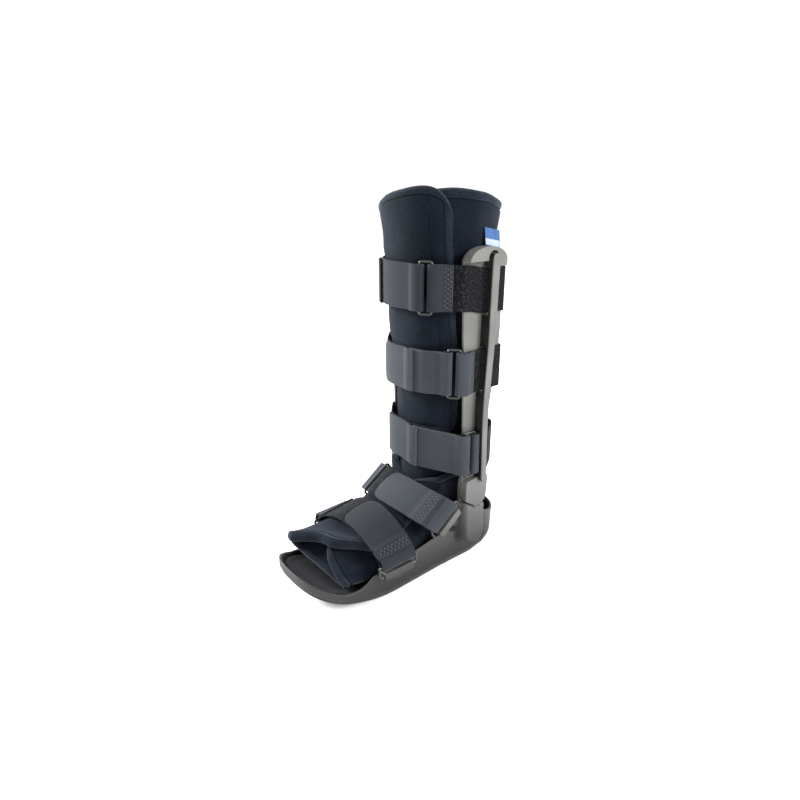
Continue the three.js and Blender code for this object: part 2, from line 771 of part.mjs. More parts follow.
function footWrap() {
  const columns = 28;
  const heel = [100, 113, 122, 128, 131.5, FOOT_BACK_Y];
  const ys = [...steps(FOOT_FRONT_Y, FLAP_END_Y, 9), 18, 26, 36, 60, 85, ...heel];
  const grid = ys.map((y) => {
    const open = THREE.MathUtils.smoothstep(y, FLAP_END_Y, ARMS_START_Y);
    const forward = THREE.MathUtils.clamp((FLAP_END_Y - y) / (FLAP_END_Y - FOOT_FRONT_Y), 0, 1);
    return steps(0, 1, columns).map((share) => {
      const angle = THREE.MathUtils.lerp(FOOT_LAP.start, FOOT_LAP.end, share);
      const inLap = THREE.MathUtils.smoothstep(angle, FOOT_INNER_LAP.from, FOOT_INNER_LAP.to);
      const inner = WRAP_STEP * (inLap - 1);
      const shift = along(FOOT_FRONT, 'angle', 'y', angle) - FOOT_FRONT_Y;
      const whole = footPoint(angle, y + shift * forward, angle < 180 ? inner : 0);
      const closed = between(whole, toePanel(angle, whole), toeLean(angle, y));
      return between(closed, armPoint(share, y), open);
    });
  });
  return sheetGeometry(grid, WRAP_THICKNESS);
}

// Convex outline round points in a plane, as distance from a centre
function convexOutline(points) {
  const sorted = [...points].sort((a, b) => a[0] - b[0] || a[1] - b[1]);
  const turn = (o, a, b) => (a[0] - o[0]) * (b[1] - o[1]) - (a[1] - o[1]) * (b[0] - o[0]);
  const chain = (list) => {
    const out = [];
    for (const p of list) {
      while (out.length > 1 && turn(out[out.length - 2], out[out.length - 1], p) <= 0) out.pop();
      out.push(p);
    }
    out.pop();
    return out;
  };
  return [...chain(sorted), ...chain(sorted.reverse())];
}

function reach(outline, angle) {
  const dir = [Math.sin(radians(angle)), -Math.cos(radians(angle))];
  let best = Infinity;
  outline.forEach((p, i) => {
    const q = outline[(i + 1) % outline.length];
    const normal = [q[1] - p[1], p[0] - q[0]];
    const facing = normal[0] * dir[0] + normal[1] * dir[1];
    if (facing > 1e-9) best = Math.min(best, (normal[0] * p[0] + normal[1] * p[1]) / facing);
  });
  return best;
}

// A line in a plane, with places on it given by length along and height above
class Track {
  constructor(outline, centre, fromAngle, toAngle) {
    this.points = steps(fromAngle, toAngle, Math.ceil(toAngle - fromAngle)).map((angle) => {
      const radius = reach(outline, angle);
      const t = radians(angle);
      return { angle, x: radius * Math.sin(t), y: centre - radius * Math.cos(t), length: 0 };
    });
    this.points.forEach((point, i) => {
      if (i === 0) return;
      const before = this.points[i - 1];
      point.length = before.length + Math.hypot(point.x - before.x, point.y - before.y);
    });
  }

  lengthAt(angle) {
    return along(this.points, 'angle', 'length', angle);
  }

  // Lengths between which the line bends by less than the tolerance
  stops(from, to) {
    const list = steps(from, to, Math.ceil((to - from) / TRACK_STEP));
    const places = list.map((length) => this.at(length, 0));
    const kept = [0];
    for (let i = 2; i < list.length; i += 1) {
      const start = kept[kept.length - 1];
      const [a, b] = [places[start], places[i]];
      const size = Math.hypot(b[0] - a[0], b[1] - a[1]);
      const off = places.slice(start + 1, i).map(([x, y]) => {
        return Math.abs((b[0] - a[0]) * (y - a[1]) - (b[1] - a[1]) * (x - a[0])) / size;
      });
      if (Math.max(...off) > TRACK_TOLERANCE) kept.push(i - 1);
    }
    kept.push(list.length - 1);
    return kept.map((i) => list[i]);
  }

  at(length, level) {
    const x = (s) => along(this.points, 'length', 'x', s);
    const y = (s) => along(this.points, 'length', 'y', s);
    const dx = x(length + TRACK_STEP) - x(length - TRACK_STEP);
    const dy = y(length + TRACK_STEP) - y(length - TRACK_STEP);
    const size = Math.hypot(dx, dy);
    return [x(length) + level * dy / size, y(length) - level * dx / size];
  }
}

// Places along a track of a strap that is folded over a ring bar at its start,
// runs along the track and is folded back over a second bar at its end
function foldedRoute(track, startBar, endBar, startLap, endLap) {
  const lap = STRAP + GAP;
  const fold = (sense, at) => steps(-90, 90, 5).map((a) => {
    const t = radians(a);
    return [at + sense * FOLD * Math.cos(t), FOLD + FOLD * Math.sin(t)];
  });
  return [
    [startBar + startLap, lap],
    [startBar + 10, lap + 0.4],
    [startBar + 5, 2 * FOLD - 1.4],
    ...fold(-1, startBar).reverse(),
    ...track.stops(startBar + 4, endBar - 4).map((s) => [s, 0]),
    ...fold(1, endBar),
    [endBar - 5, 2 * FOLD - 1.4],
    [endBar - 10, lap + 0.4],
    ...track.stops(endBar - endLap, endBar - 15).reverse().map((s) => [s, lap]),
  ];
}

// Places of a hook tab that is sewn on a strap's folded end and lies on the strap
function tabRoute(track, from, step, to) {
  const low = (STRAP + TAB) / 2 + GAP + 0.1;
  const high = low + STRAP + GAP;
  return [
    ...track.stops(from - step - 1, from).reverse().map((s) => [s, high]),
    [from - step - 5, low + 1.8],
    ...track.stops(to, from - step - 9).reverse().map((s) => [s, low]),
  ];
}

// A band along a route of plane points, with its width across the plane
function bandGeometry(track, route, thickness, halfWidth, place) {
  const centre = route.map(([length, level]) => track.at(length, level));
  const offset = (side) => centre.map((point, i) => {
    const before = centre[Math.max(i - 1, 0)];
    const after = centre[Math.min(i + 1, centre.length - 1)];
    const size = Math.hypot(after[0] - before[0], after[1] - before[1]);
    const shift = side * thickness / 2 / size;
    return [point[0] + shift * (after[1] - before[1]), point[1] - shift * (after[0] - before[0])];
  });
  const rows = [-halfWidth, halfWidth];
  const face = (side) => rows.map((across) => offset(side).map((point) => place(point, across)));
  return slabGeometry(face(1), face(-1));
}

// A wire ring for a strap: two bars joined by round corners
function ringWire(bars, length) {
  const rounded = (halfWidth, halfHeight, radius, path) => {
    path.moveTo(-halfWidth + radius, -halfHeight);
    path.lineTo(halfWidth - radius, -halfHeight);
    path.absarc(halfWidth - radius, -halfHeight + radius, radius, -Math.PI / 2, 0);
    path.absarc(halfWidth - radius, halfHeight - radius, radius, 0, Math.PI / 2);
    path.absarc(-halfWidth + radius, halfHeight - radius, radius, Math.PI / 2, Math.PI);
    path.absarc(-halfWidth + radius, -halfHeight + radius, radius, Math.PI, Math.PI * 1.5);
    return path;
  };
  const shape = rounded((bars + WIRE) / 2, length / 2, 3, new THREE.Shape());
  shape.holes.push(rounded((bars - WIRE) / 2, length / 2 - WIRE, 1.2, new THREE.Path()));
  const bevel = 0.7;
  const geometry = new THREE.ExtrudeGeometry(shape, {
    depth: WIRE - 2 * bevel,
    bevelThickness: bevel,
    bevelSize: bevel,
    bevelOffset: -bevel,
    bevelSegments: 1,
    curveSegments: 1,
  });
  return geometry.translate(0, 0, bevel - WIRE / 2);
}

// Leg straps: a taut line round the wrap and both struts, over the whole height
// of the strap, with a straight stretch under the ring
function legOutline(strap) {
  const lift = LEG_STRAP_LIFT + STRAP / 2;
  const half = LEG_STRAP_HEIGHT / 2;
  const out = PLATE_OUT + lift;
  const points = [];
  for (const z of [strap.z - half, strap.z, strap.z + half]) {
    const strip = z > STRIP.bottom ? STRIP.thickness + STRIP_LIFT : 0;
    for (const angle of steps(0, 358, 90)) {
      const onStrip = angle > STRIP_ZONE.from && angle < STRIP_ZONE.to ? strip : 0;
      const away = Math.abs(angle - SLACK.angle);
      const loose = 1 - THREE.MathUtils.smoothstep(away, SLACK.full, SLACK.none);
      const [x, y] = legPoint(angle, z, lift + onStrip + strap.slack * loose);
      points.push([x, y - LEG_AXIS_Y]);
    }
    const front = along(PLATE, 'z', 'front', z) - LEG_AXIS_Y;
    const rear = along(PLATE, 'z', 'rear', z) - LEG_AXIS_Y;
    for (const side of [-1, 1]) {
      points.push([side * out, front], [side * out, rear]);
      points.push([side * PLATE_OUT, front - lift], [side * PLATE_OUT, rear + lift]);
    }
  }
  const line = convexOutline(points);
  const spot = (angle) => {
    const radius = reach(line, angle) + GAP;
    return [radius * Math.sin(radians(angle)), -radius * Math.cos(radians(angle))];
  };
  const [before, at, after] = [-RING_SPAN, 0, RING_SPAN].map((turn) => spot(strap.ring + turn));
  const size = Math.hypot(after[0] - before[0], after[1] - before[1]);
  for (const side of [-1, 1]) {
    const shift = side * RING_STRAIGHT / size;
    points.push([0, 1].map((k) => at[k] + shift * (after[k] - before[k])));
  }
  return convexOutline(points);
}

function legRise(strap, x, y) {
  if (!strap.tilt.length) return 0;
  const angle = THREE.MathUtils.radToDeg(Math.atan2(x, LEG_AXIS_Y - y));
  return along(strap.tilt, 'angle', 'rise', angle);
}

function legStrap(strap) {
  const outline = legOutline(strap);
  const track = new Track(outline, LEG_AXIS_Y, strap.ring - 40, strap.ring + 400);
  const startBar = track.lengthAt(strap.ring) + RING_BARS / 2;
  const endMiddle = track.lengthAt(strap.ring + 360);
  const endBar = endMiddle - RING_BARS / 2;
  const seam = endBar - track.lengthAt(strap.seam + 360);
  const place = ([x, y], up) => [x, y, strap.z + legRise(strap, x, y) + up];
  const route = foldedRoute(track, startBar, endBar, SEWN_LAP, seam + SEAM_WIDTH);
  const half = LEG_STRAP_HEIGHT / 2;
  addMesh(`${strap.name}_strap`, bandGeometry(track, route, STRAP, half, place), COLORS.strap);
  const tab = tabRoute(track, endBar - seam, SEAM_WIDTH, track.lengthAt(strap.tab + 360));
  addMesh(`${strap.name}_tab`, bandGeometry(track, tab, TAB, half, place), COLORS.tab);

  const [x, y] = track.at(endMiddle, FOLD);
  const [outX, outY] = track.at(endMiddle, FOLD + 1);
  const normal = new THREE.Vector3(outX - x, outY - y, 0);
  const up = new THREE.Vector3(0, 0, 1);
  const across = new THREE.Vector3().crossVectors(up, normal);
  const ring = addMesh(`${strap.name}_ring`, ringWire(RING_BARS, RING_HEIGHT), COLORS.wire, 0.35, 0.6);
  ring.quaternion.setFromRotationMatrix(new THREE.Matrix4().makeBasis(across, up, normal));
  ring.position.set(x, y, strap.z + legRise(strap, x, y));
}

// Foot straps: the plane of the track leans back, and the strap's width turns
// from the slope of the rings to the slope of the instep on top
function footStrap(strap) {
  const half = strap.width / 2;
  const reachOf = FOOT_STRAP_REACH;
  const lift = FOOT_STRAP_LIFT + STRAP / 2;
  const rise = [Math.sin(radians(strap.lean)), Math.cos(radians(strap.lean))];
  const widthSlope = (height) => {
    const share = THREE.MathUtils.smoothstep(height, reachOf.turnFrom, strap.crown);
    return radians(THREE.MathUtils.lerp(strap.ringSlope, strap.topSlope, share));
  };
  const points = [];
  for (const y of steps(strap.y - reachOf.front, strap.y + reachOf.back, 25)) {
    for (const angle of steps(-90, 90, 30)) {
      const [x, , z] = footPoint(angle, y, lift);
      const slope = widthSlope(strap.crown);
      const [dy, dz] = [y - strap.y, z - strap.z];
      const size = Math.cos(slope) * rise[1] + Math.sin(slope) * rise[0];
      const height = (dz * Math.cos(slope) - dy * Math.sin(slope)) / size;
      const up = (dy * rise[1] + dz * rise[0]) / size;
      const near = Math.abs(up) < half + reachOf.margin;
      if (near && height > -reachOf.below) points.push([x, -height - FOOT_CENTRE]);
    }
  }
  for (const side of [-1, 1]) {
    const x = side * (strap.ringX - FOLD);
    points.push([x, -FOOT_CENTRE - BAR_RUN], [x, 0]);
  }
  const track = new Track(convexOutline(points), FOOT_CENTRE, -FOOT_TRACK_END, FOOT_TRACK_END);
  const barAngle = THREE.MathUtils.radToDeg(Math.atan2(strap.ringX - FOLD, FOOT_CENTRE));
  const startBar = track.lengthAt(-barAngle);
  const endBar = track.lengthAt(barAngle);
  const place = ([x, down], up) => {
    const slope = widthSlope(-down);
    const y = strap.y + down * rise[0] + up * Math.cos(slope);
    return [x, y, strap.z - down * rise[1] + up * Math.sin(slope)];
  };
  const seam = endBar - track.lengthAt(strap.seam);
  const route = foldedRoute(track, startBar, endBar, SEWN_LAP, seam + SEAM_WIDTH);
  addMesh(`${strap.name}_strap`, bandGeometry(track, route, STRAP, half, place), COLORS.strap);
  const tab = tabRoute(track, endBar - seam, SEAM_WIDTH, track.lengthAt(strap.tab));
  addMesh(`${strap.name}_tab`, bandGeometry(track, tab, TAB, half, place), COLORS.tab);
  for (const [side, sideName] of [[1, 'near'], [-1, 'far']]) {
    const wire = ringWire(FOOT_RING_BARS, strap.width + FOOT_RING_EXTRA);
    wire.rotateY(Math.PI / 2);
    const ring = addMesh(`${strap.name}_ring_${sideName}`, wire, COLORS.wire, 0.35, 0.6);
    ring.rotation.x = radians(strap.ringSlope);
    const down = FOOT_RING_BARS / 2;
    const slope = radians(strap.ringSlope);
    ring.position.set(side * strap.ringX, strap.y + down * Math.sin(slope), strap.z - down * Math.cos(slope));
  }
}

// Strips sewn along the edges of the two flaps
function legStrip() {
  const grid = steps(STRIP.bottom, STRIP.top, STRIP_ROWS).map((z) => {
    const edge = along(FLAP_EDGE, 'z', 'angle', z);
    return steps(edge - STRIP.from, edge - STRIP.to, 3)
      .map((angle) => legPoint(angle, z, STRIP.thickness + STRIP_LIFT));
  });
  return sheetGeometry(grid, STRIP.thickness);
}

function footStrip() {
  const grid = steps(FOOT_STRIP.toY, FOOT_STRIP.fromY, 3).map((y) => {
    return steps(FOOT_STRIP.from, FOOT_STRIP.to, 3)
      .map((angle) => footPoint(angle, y, FOOT_STRIP.thickness + GAP));
  });
  return sheetGeometry(grid, FOOT_STRIP.thickness);
}

// A small folded tab on the wrap above the near strut
function tagGeometry() {
  const half = TAG.width / 2;
  const grid = [0, TAG.height].map((up) => [-half, 0, half].map((across) => {
    const x = TAG.x + TAG.out * (1 - up / TAG.height);
    return [x, TAG.y + across, TAG.z + up - TAG.slope * across];
  }));
  return sheetGeometry(grid, TAG.thickness);
}

// Assembly
addMesh('outsole', outsole(), COLORS.sole, 0.9);
addMesh('shell', shell(), COLORS.shell, 0.6);
addMesh('insole', insole(), COLORS.insole, 0.9);
addMesh('strut_near', strut(1), COLORS.strut, 0.55);
addMesh('strut_far', mirrored(strut(-1)), COLORS.strut, 0.55);
addMesh('leg_wrap', legWrap(), COLORS.wrap, 0.95);
addMesh('foot_wrap', footWrap(), COLORS.wrap, 0.95);
addMesh('leg_strip', legStrip(), COLORS.wrap, 0.9);
addMesh('foot_strip', footStrip(), COLORS.wrap, 0.9);
addMesh('tag', tagGeometry(), COLORS.tag, 0.8);
LEG_STRAPS.forEach(legStrap);
FOOT_STRAPS.forEach(footStrap);

export default boot;
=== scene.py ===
"""Looks of a tall walking boot for a lower leg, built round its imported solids.

Lengths in the sub-assemblies are millimetres in the row's frame: +Z up, toes
towards -Y, the tag on the +X side. Meshes are scaled to metres when they are made.
"""

import logging
import math
from dataclasses import dataclass, field
from enum import Enum
from typing import Callable, Iterable, Sequence

import bmesh
import bpy
import numpy as np
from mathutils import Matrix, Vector, noise


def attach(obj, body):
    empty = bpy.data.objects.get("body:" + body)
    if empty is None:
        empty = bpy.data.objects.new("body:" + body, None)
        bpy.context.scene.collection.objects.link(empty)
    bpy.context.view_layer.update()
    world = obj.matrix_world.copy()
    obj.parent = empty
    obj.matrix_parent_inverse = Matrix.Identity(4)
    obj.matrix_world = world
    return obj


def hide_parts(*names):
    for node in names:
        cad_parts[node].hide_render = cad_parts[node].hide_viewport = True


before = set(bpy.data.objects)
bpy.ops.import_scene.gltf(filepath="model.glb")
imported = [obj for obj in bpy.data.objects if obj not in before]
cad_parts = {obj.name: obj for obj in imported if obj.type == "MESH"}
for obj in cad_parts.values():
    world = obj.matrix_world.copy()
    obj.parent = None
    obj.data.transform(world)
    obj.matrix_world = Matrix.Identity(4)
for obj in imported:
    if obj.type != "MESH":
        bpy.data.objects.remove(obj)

LOG = logging.getLogger("boot")
MM = 0.001
BODY = "root"
SIDES = ((1, "near"), (-1, "far"))

Pair = tuple[float, float]
Point = tuple[float, float, float]


# Numbers


class Table:
    """Values between the rows of a short table, on a smooth monotone curve."""

    def __init__(self, rows: Sequence[Pair]) -> None:
        """Keeps the rows and works out the slope at each.

        Args:
            rows: pairs of place and value, in rising order of place.
        """
        self.x = np.array([row[0] for row in rows], float)
        self.y = np.array([row[1] for row in rows], float)
        step = np.diff(self.x)
        rise = np.diff(self.y) / step
        slope = np.zeros(len(rows))
        for i in range(1, len(rows) - 1):
            if rise[i - 1] * rise[i] > 0:
                a, b = 2 * step[i] + step[i - 1], step[i] + 2 * step[i - 1]
                slope[i] = (a + b) / (a / rise[i - 1] + b / rise[i])
        slope[0], slope[-1] = rise[0], rise[-1]
        self.slope = slope

    def __call__(self, at: float) -> float:
        """Value at a place; ends hold their value."""
        x = min(max(at, self.x[0]), self.x[-1])
        i = min(int(np.searchsorted(self.x, x, side="right")) - 1, len(self.x) - 2)
        h = self.x[i + 1] - self.x[i]
        t = (x - self.x[i]) / h
        a = (1 + 2 * t) * (1 - t) ** 2 * self.y[i] + t * (1 - t) ** 2 * h * self.slope[i]
        b = t * t * (3 - 2 * t) * self.y[i + 1] + t * t * (t - 1) * h * self.slope[i + 1]
        return float(a + b)


def table(*rows: Pair) -> Table:
    """A dataclass field that holds a table of rows."""
    return field(default_factory=lambda: Table(rows))


def blend(low: float, high: float, share: float) -> float:
    """Straight mix of two numbers."""
    return low + (high - low) * share


def smooth(value: float, low: float, high: float) -> float:
    """Smooth step from 0 at low to 1 at high."""
    t = min(max((value - low) / (high - low), 0.0), 1.0)
    return t * t * (3 - 2 * t)


def window(value: float, low: float, full: float, fading: float, high: float) -> float:
    """Smooth rise from low to full and fall from fading to high."""
    return smooth(value, low, full) * (1 - smooth(value, fading, high))


def bump(distance: float, width: float) -> float:
    """Bell of height 1 at distance 0."""
    return math.exp(-((distance / width) ** 2))


def round_power(angle: float, a: float, b: float, power: float) -> Pair:
    """Point of a superellipse with angle 0 on its second axis."""
    s, c = math.sin(angle), math.cos(angle)
    x = a * math.copysign(abs(s) ** (2 / power), s)
    y = b * math.copysign(abs(c) ** (2 / power), c)
    return x, y


def edged(length: float, step: float, soft: float = 3.5, seam: float = 0.0) -> np.ndarray:
    """Shares from 0 to 1 that crowd together near both ends.

    Args:
        length: the length that the shares stand for.
        step: the spacing away from the ends.
        soft: the width over which an edge is rounded.
        seam: the distance of a sewn line from both ends, or 0 for none.

    Returns:
        The shares, in rising order.
    """
    near = soft * np.array([0, 0.04, 0.13, 0.27, 0.45, 0.67, 0.92, 1.25, 1.75])
    reach = 2.4 * soft
    if seam:
        near = np.concatenate([near, seam + np.array([-1.2, -0.5, 0.5, 1.2])])
        reach = seam + 2.6
    count = max(int((length - 2 * reach) / step), 2)
    inside = np.linspace(reach, length - reach, count)
    return np.concatenate([near, inside, (length - near)[::-1]]) / length


def rough(point: Sequence[float], size: float, seed: float = 0.0) -> float:
    """Soft noise about 0 with features of a size, fixed by its place and seed."""
    return noise.noise(Vector((point[0] / size + seed, point[1] / size, point[2] / size)))


# Meshes


def make_object(
    name: str,
    points: np.ndarray,
    faces: Iterable[Sequence[int]],
    uv: np.ndarray | None = None,
) -> bpy.types.Object:
    """Makes a mesh object from points in millimetres.

    Args:
        name: the piece's name.
        points: one row of three numbers for each vertex.
        faces: the vertex numbers of each face.
        uv: two numbers in millimetres for each vertex, kept in metres.

    Returns:
        The new object, linked to the scene.
    """
    mesh = bpy.data.meshes.new(name)
    mesh.from_pydata((np.asarray(points, float) * MM).tolist(), [], [list(f) for f in faces])
    if uv is not None:
        layer = mesh.uv_layers.new(name="cloth")
        loops = np.zeros(len(mesh.loops), np.int32)
        mesh.loops.foreach_get("vertex_index", loops)
        layer.data.foreach_set("uv", (np.asarray(uv, float)[loops] * MM).ravel())
    mesh.validate()
    mesh.polygons.foreach_set("use_smooth", [True] * len(mesh.polygons))
    mesh.update()
    return put(name, mesh)


def put(name: str, data: bpy.types.ID) -> bpy.types.Object:
    """Puts an object with a mesh, a lamp or a lens into the scene."""
    thing = bpy.data.objects.new(name, data)
    bpy.context.scene.collection.objects.link(thing)
    return thing


def faced_out(thing: bpy.types.Object) -> bpy.types.Object:
    """Turns the faces of a closed object outwards."""
    mesh = bmesh.new()
    mesh.from_mesh(thing.data)
    bmesh.ops.recalc_face_normals(mesh, faces=mesh.faces)
    mesh.to_mesh(thing.data)
    mesh.free()
    return thing


def grid_faces(rows: int, columns: int, start: int = 0, closed: bool = False) -> list[list[int]]:
    """Quads of a grid of vertices, optionally closed along its rows."""
    span = columns if closed else columns - 1
    return [
        [
            start + i * columns + j,
            start + i * columns + (j + 1) % columns,
            start + (i + 1) * columns + (j + 1) % columns,
            start + (i + 1) * columns + j,
        ]
        for i in range(rows - 1)
        for j in range(span)
    ]


def grid_normals(grid: np.ndarray) -> np.ndarray:
    """Unit normals of a grid of points, from its own neighbours."""
    across = np.gradient(grid, axis=1)
    along = np.gradient(grid, axis=0)
    normal = np.cross(across, along)
    size = np.linalg.norm(normal, axis=2, keepdims=True)
    return normal / np.maximum(size, 1e-9)


def join(name: str, things: Sequence[bpy.types.Object]) -> bpy.types.Object:
    """Joins several mesh objects, with their materials, into one.

    Args:
        name: the name of the result.
        things: the objects; the first one stays.

    Returns:
        The joined object.
    """
    for thing in things:
        apply_modifiers(thing)
    bpy.ops.object.select_all(action="DESELECT")
    for thing in things:
        thing.select_set(True)
    bpy.context.view_layer.objects.active = things[0]
    bpy.ops.object.join()
    things[0].name = name
    things[0].data.name = name
    return things[0]


def apply_modifiers(thing: bpy.types.Object) -> None:
    """Turns an object's modifiers into its mesh."""
    if not thing.modifiers:
        return
    graph = bpy.context.evaluated_depsgraph_get()
    mesh = bpy.data.meshes.new_from_object(thing.evaluated_get(graph))
    thing.modifiers.clear()
    thing.data = mesh


def bevelled(thing: bpy.types.Object, width: float, segments: int = 3) -> bpy.types.Object:
    """Rounds an object's sharp edges and keeps its flats flat."""
    cut = thing.modifiers.new("round", "BEVEL")
    cut.width = width * MM
    cut.segments = segments
    cut.limit_method = "ANGLE"
    cut.angle_limit = math.radians(28)
    cut.harden_normals = False
    keep = thing.modifiers.new("flats", "WEIGHTED_NORMAL")
    keep.keep_sharp = False
    apply_modifiers(thing)
    return thing


def prism(
    name: str,
    outline: Sequence[Pair],
    low: float,
    high: float,
    rounding: float,
    side: int = 1,
) -> bpy.types.Object:
    """A plate drawn in the side view and thick along X, with rounded edges.

    Args:
        name: the object's name.
        outline: points (y, z), without repeats.
        low: the inner X.
        high: the outer X.
        rounding: the width of the rounded edge.
        side: 1 for the near side, -1 for the far side.

    Returns:
        The new object.
    """
    count = len(outline)
    points = [(side * x, y, z) for x in (low, high) for y, z in outline]
    faces = [list(range(count)), list(range(2 * count - 1, count - 1, -1))]
    faces += [[i, i + count, (i + 1) % count + count, (i + 1) % count] for i in range(count)]
    thing = faced_out(make_object(name, np.array(points), faces))
    return bevelled(thing, rounding) if rounding else thing


def corner_rounded(
    corners: Sequence[Point], steps: int = 6
) -> list[Pair]:
    """An outline with each corner rounded by its own radius.

    Args:
        corners: triples of y, z and radius.
        steps: the number of points on each rounding.

    Returns:
        The outline's points.
    """
    out: list[Pair] = []
    count = len(corners)
    for i, (y, z, radius) in enumerate(corners):
        here = np.array([y, z])
        before = np.array(corners[i - 1][:2]) - here
        after = np.array(corners[(i + 1) % count][:2]) - here
        if radius <= 0:
            out.append((y, z))
            continue
        reach = min(radius, 0.45 * np.linalg.norm(before), 0.45 * np.linalg.norm(after))
        a = here + before / np.linalg.norm(before) * reach
        b = here + after / np.linalg.norm(after) * reach
        for t in np.linspace(0, 1, steps):
            place = (1 - t) ** 2 * a + 2 * t * (1 - t) * here + t * t * b
            out.append((float(place[0]), float(place[1])))
    return out


def tube(name: str, path: np.ndarray, radius: float, sides: int = 12) -> bpy.types.Object:
    """A round wire that returns to its start.

    Args:
        name: the object's name.
        path: the centre line's points.
        radius: the wire's radius.
        sides: the number of sides.

    Returns:
        The new object.
    """
    count = len(path)
    ahead = np.roll(path, -1, axis=0) - np.roll(path, 1, axis=0)
    ahead /= np.linalg.norm(ahead, axis=1, keepdims=True)
    middle = path.mean(axis=0)
    out = path - middle
    out -= ahead * np.sum(out * ahead, axis=1, keepdims=True)
    out /= np.maximum(np.linalg.norm(out, axis=1, keepdims=True), 1e-9)
    up = np.cross(ahead, out)
    turns = np.linspace(0, 2 * math.pi, sides, endpoint=False)
    rings = [path + radius * (math.cos(t) * out + math.sin(t) * up) for t in turns]
    points = np.stack(rings, axis=1).reshape(-1, 3)
    faces = []
    for i in range(count):
        j = (i + 1) % count
        for k in range(sides):
            m = (k + 1) % sides
            faces.append([i * sides + k, i * sides + m, j * sides + m, j * sides + k])
    return make_object(name, points, faces)


def threads(
    name: str, stitches: Sequence[tuple[np.ndarray, np.ndarray, np.ndarray]], radius: float
) -> bpy.types.Object:
    """Sewing stitches as short threads that dip into the cloth at both ends.

    Args:
        name: the object's name.
        stitches: start, end and outward direction of each stitch.
        radius: the thread's radius.

    Returns:
        One object that holds them all.
    """
    points: list[np.ndarray] = []
    faces: list[list[int]] = []
    spots = [(0.0, 0.35, -0.55), (0.14, 0.9, 0.25), (0.5, 1.0, 0.6), (0.86, 0.9, 0.25), (1.0, 0.35, -0.55)]
    sides = 5
    for start, end, out in stitches:
        along = end - start
        across = np.cross(along, out)
        across /= max(np.linalg.norm(across), 1e-9)
        base = len(points)
        for share, size, lift in spots:
            centre = start + along * share + out * lift * radius
            for k in range(sides):
                t = 2 * math.pi * k / sides
                points.append(centre + radius * size * (math.cos(t) * across + math.sin(t) * out))
        for i in range(len(spots) - 1):
            for k in range(sides):
                a, b = base + i * sides + k, base + i * sides + (k + 1) % sides
                faces.append([a, a + sides, b + sides, b])
        faces.append([base + k for k in range(sides)])
        faces.append([base + (len(spots) - 1) * sides + k for k in range(sides)][::-1])
    return make_object(name, np.array(points), faces)


def lengths(grid: np.ndarray) -> tuple[np.ndarray, np.ndarray]:
    """Lengths across and along a grid of points, for each of its points."""
    across = np.cumsum(np.linalg.norm(np.diff(grid, axis=1), axis=2), axis=1)
    along = np.cumsum(np.linalg.norm(np.diff(grid, axis=0), axis=2), axis=0)
    return np.pad(across, ((0, 0), (1, 0))), np.pad(along, ((1, 0), (0, 0)))


def edge_depth(across: np.ndarray, along: np.ndarray) -> np.ndarray:
    """Distance from the nearest edge for each point, from its lengths across and along."""
    return np.minimum(
        np.minimum(across, across[:, -1:] - across), np.minimum(along, along[-1:] - along)
    )


def sunk(depth: np.ndarray, at: float, width: float) -> np.ndarray:
    """Bell of height 1 where a grid of distances passes a place."""
    return np.exp(-(((depth - at) / width) ** 2))


def pad(
    name: str,
    outer: np.ndarray,
    thickness: float | np.ndarray,
    across: np.ndarray,
    along: np.ndarray,
    relief: float | np.ndarray = 0.0,
) -> bpy.types.Object:
    """A padded sheet with round edges, from the grid of its outer side.

    Args:
        name: the object's name.
        outer: grid of points on the outer side.
        thickness: the pad's thickness, one number or a grid of them.
        across: grid of lengths across the sheet.
        along: grid of lengths along it.
        relief: what is added to the outer side, one height or a grid of them.

    Returns:
        The new object.
    """
    depth = edge_depth(across, along)
    rows, columns = depth.shape
    normal = grid_normals(outer)
    half = np.broadcast_to(np.asarray(thickness, float) / 2, depth.shape)
    share = np.clip(depth / half, 0, 1)
    swell = (half * np.sqrt(np.maximum(1 - (1 - share) ** 2, 0)))[..., None]
    middle = outer - normal * half.min()
    raised = (relief * np.clip(depth / 2, 0, 1))[..., None]
    top = middle + normal * (swell + raised)
    back = middle - normal * swell
    points = np.concatenate([top.reshape(-1, 3), back.reshape(-1, 3)])
    number = np.arange(rows * columns).reshape(rows, columns)
    behind = number + rows * columns
    for edge in (np.s_[0, :], np.s_[-1, :], np.s_[:, 0], np.s_[:, -1]):
        behind[edge] = number[edge]
    faces = []
    for i in range(rows - 1):
        for j in range(columns - 1):
            faces.append([number[i, j], number[i, j + 1], number[i + 1, j + 1], number[i + 1, j]])
            faces.append([behind[i, j], behind[i + 1, j], behind[i + 1, j + 1], behind[i, j + 1]])
    cloth = np.stack([across.ravel(), along.ravel()], axis=1)
    return make_object(name, points, faces, np.concatenate([cloth, cloth]))


# Shaders


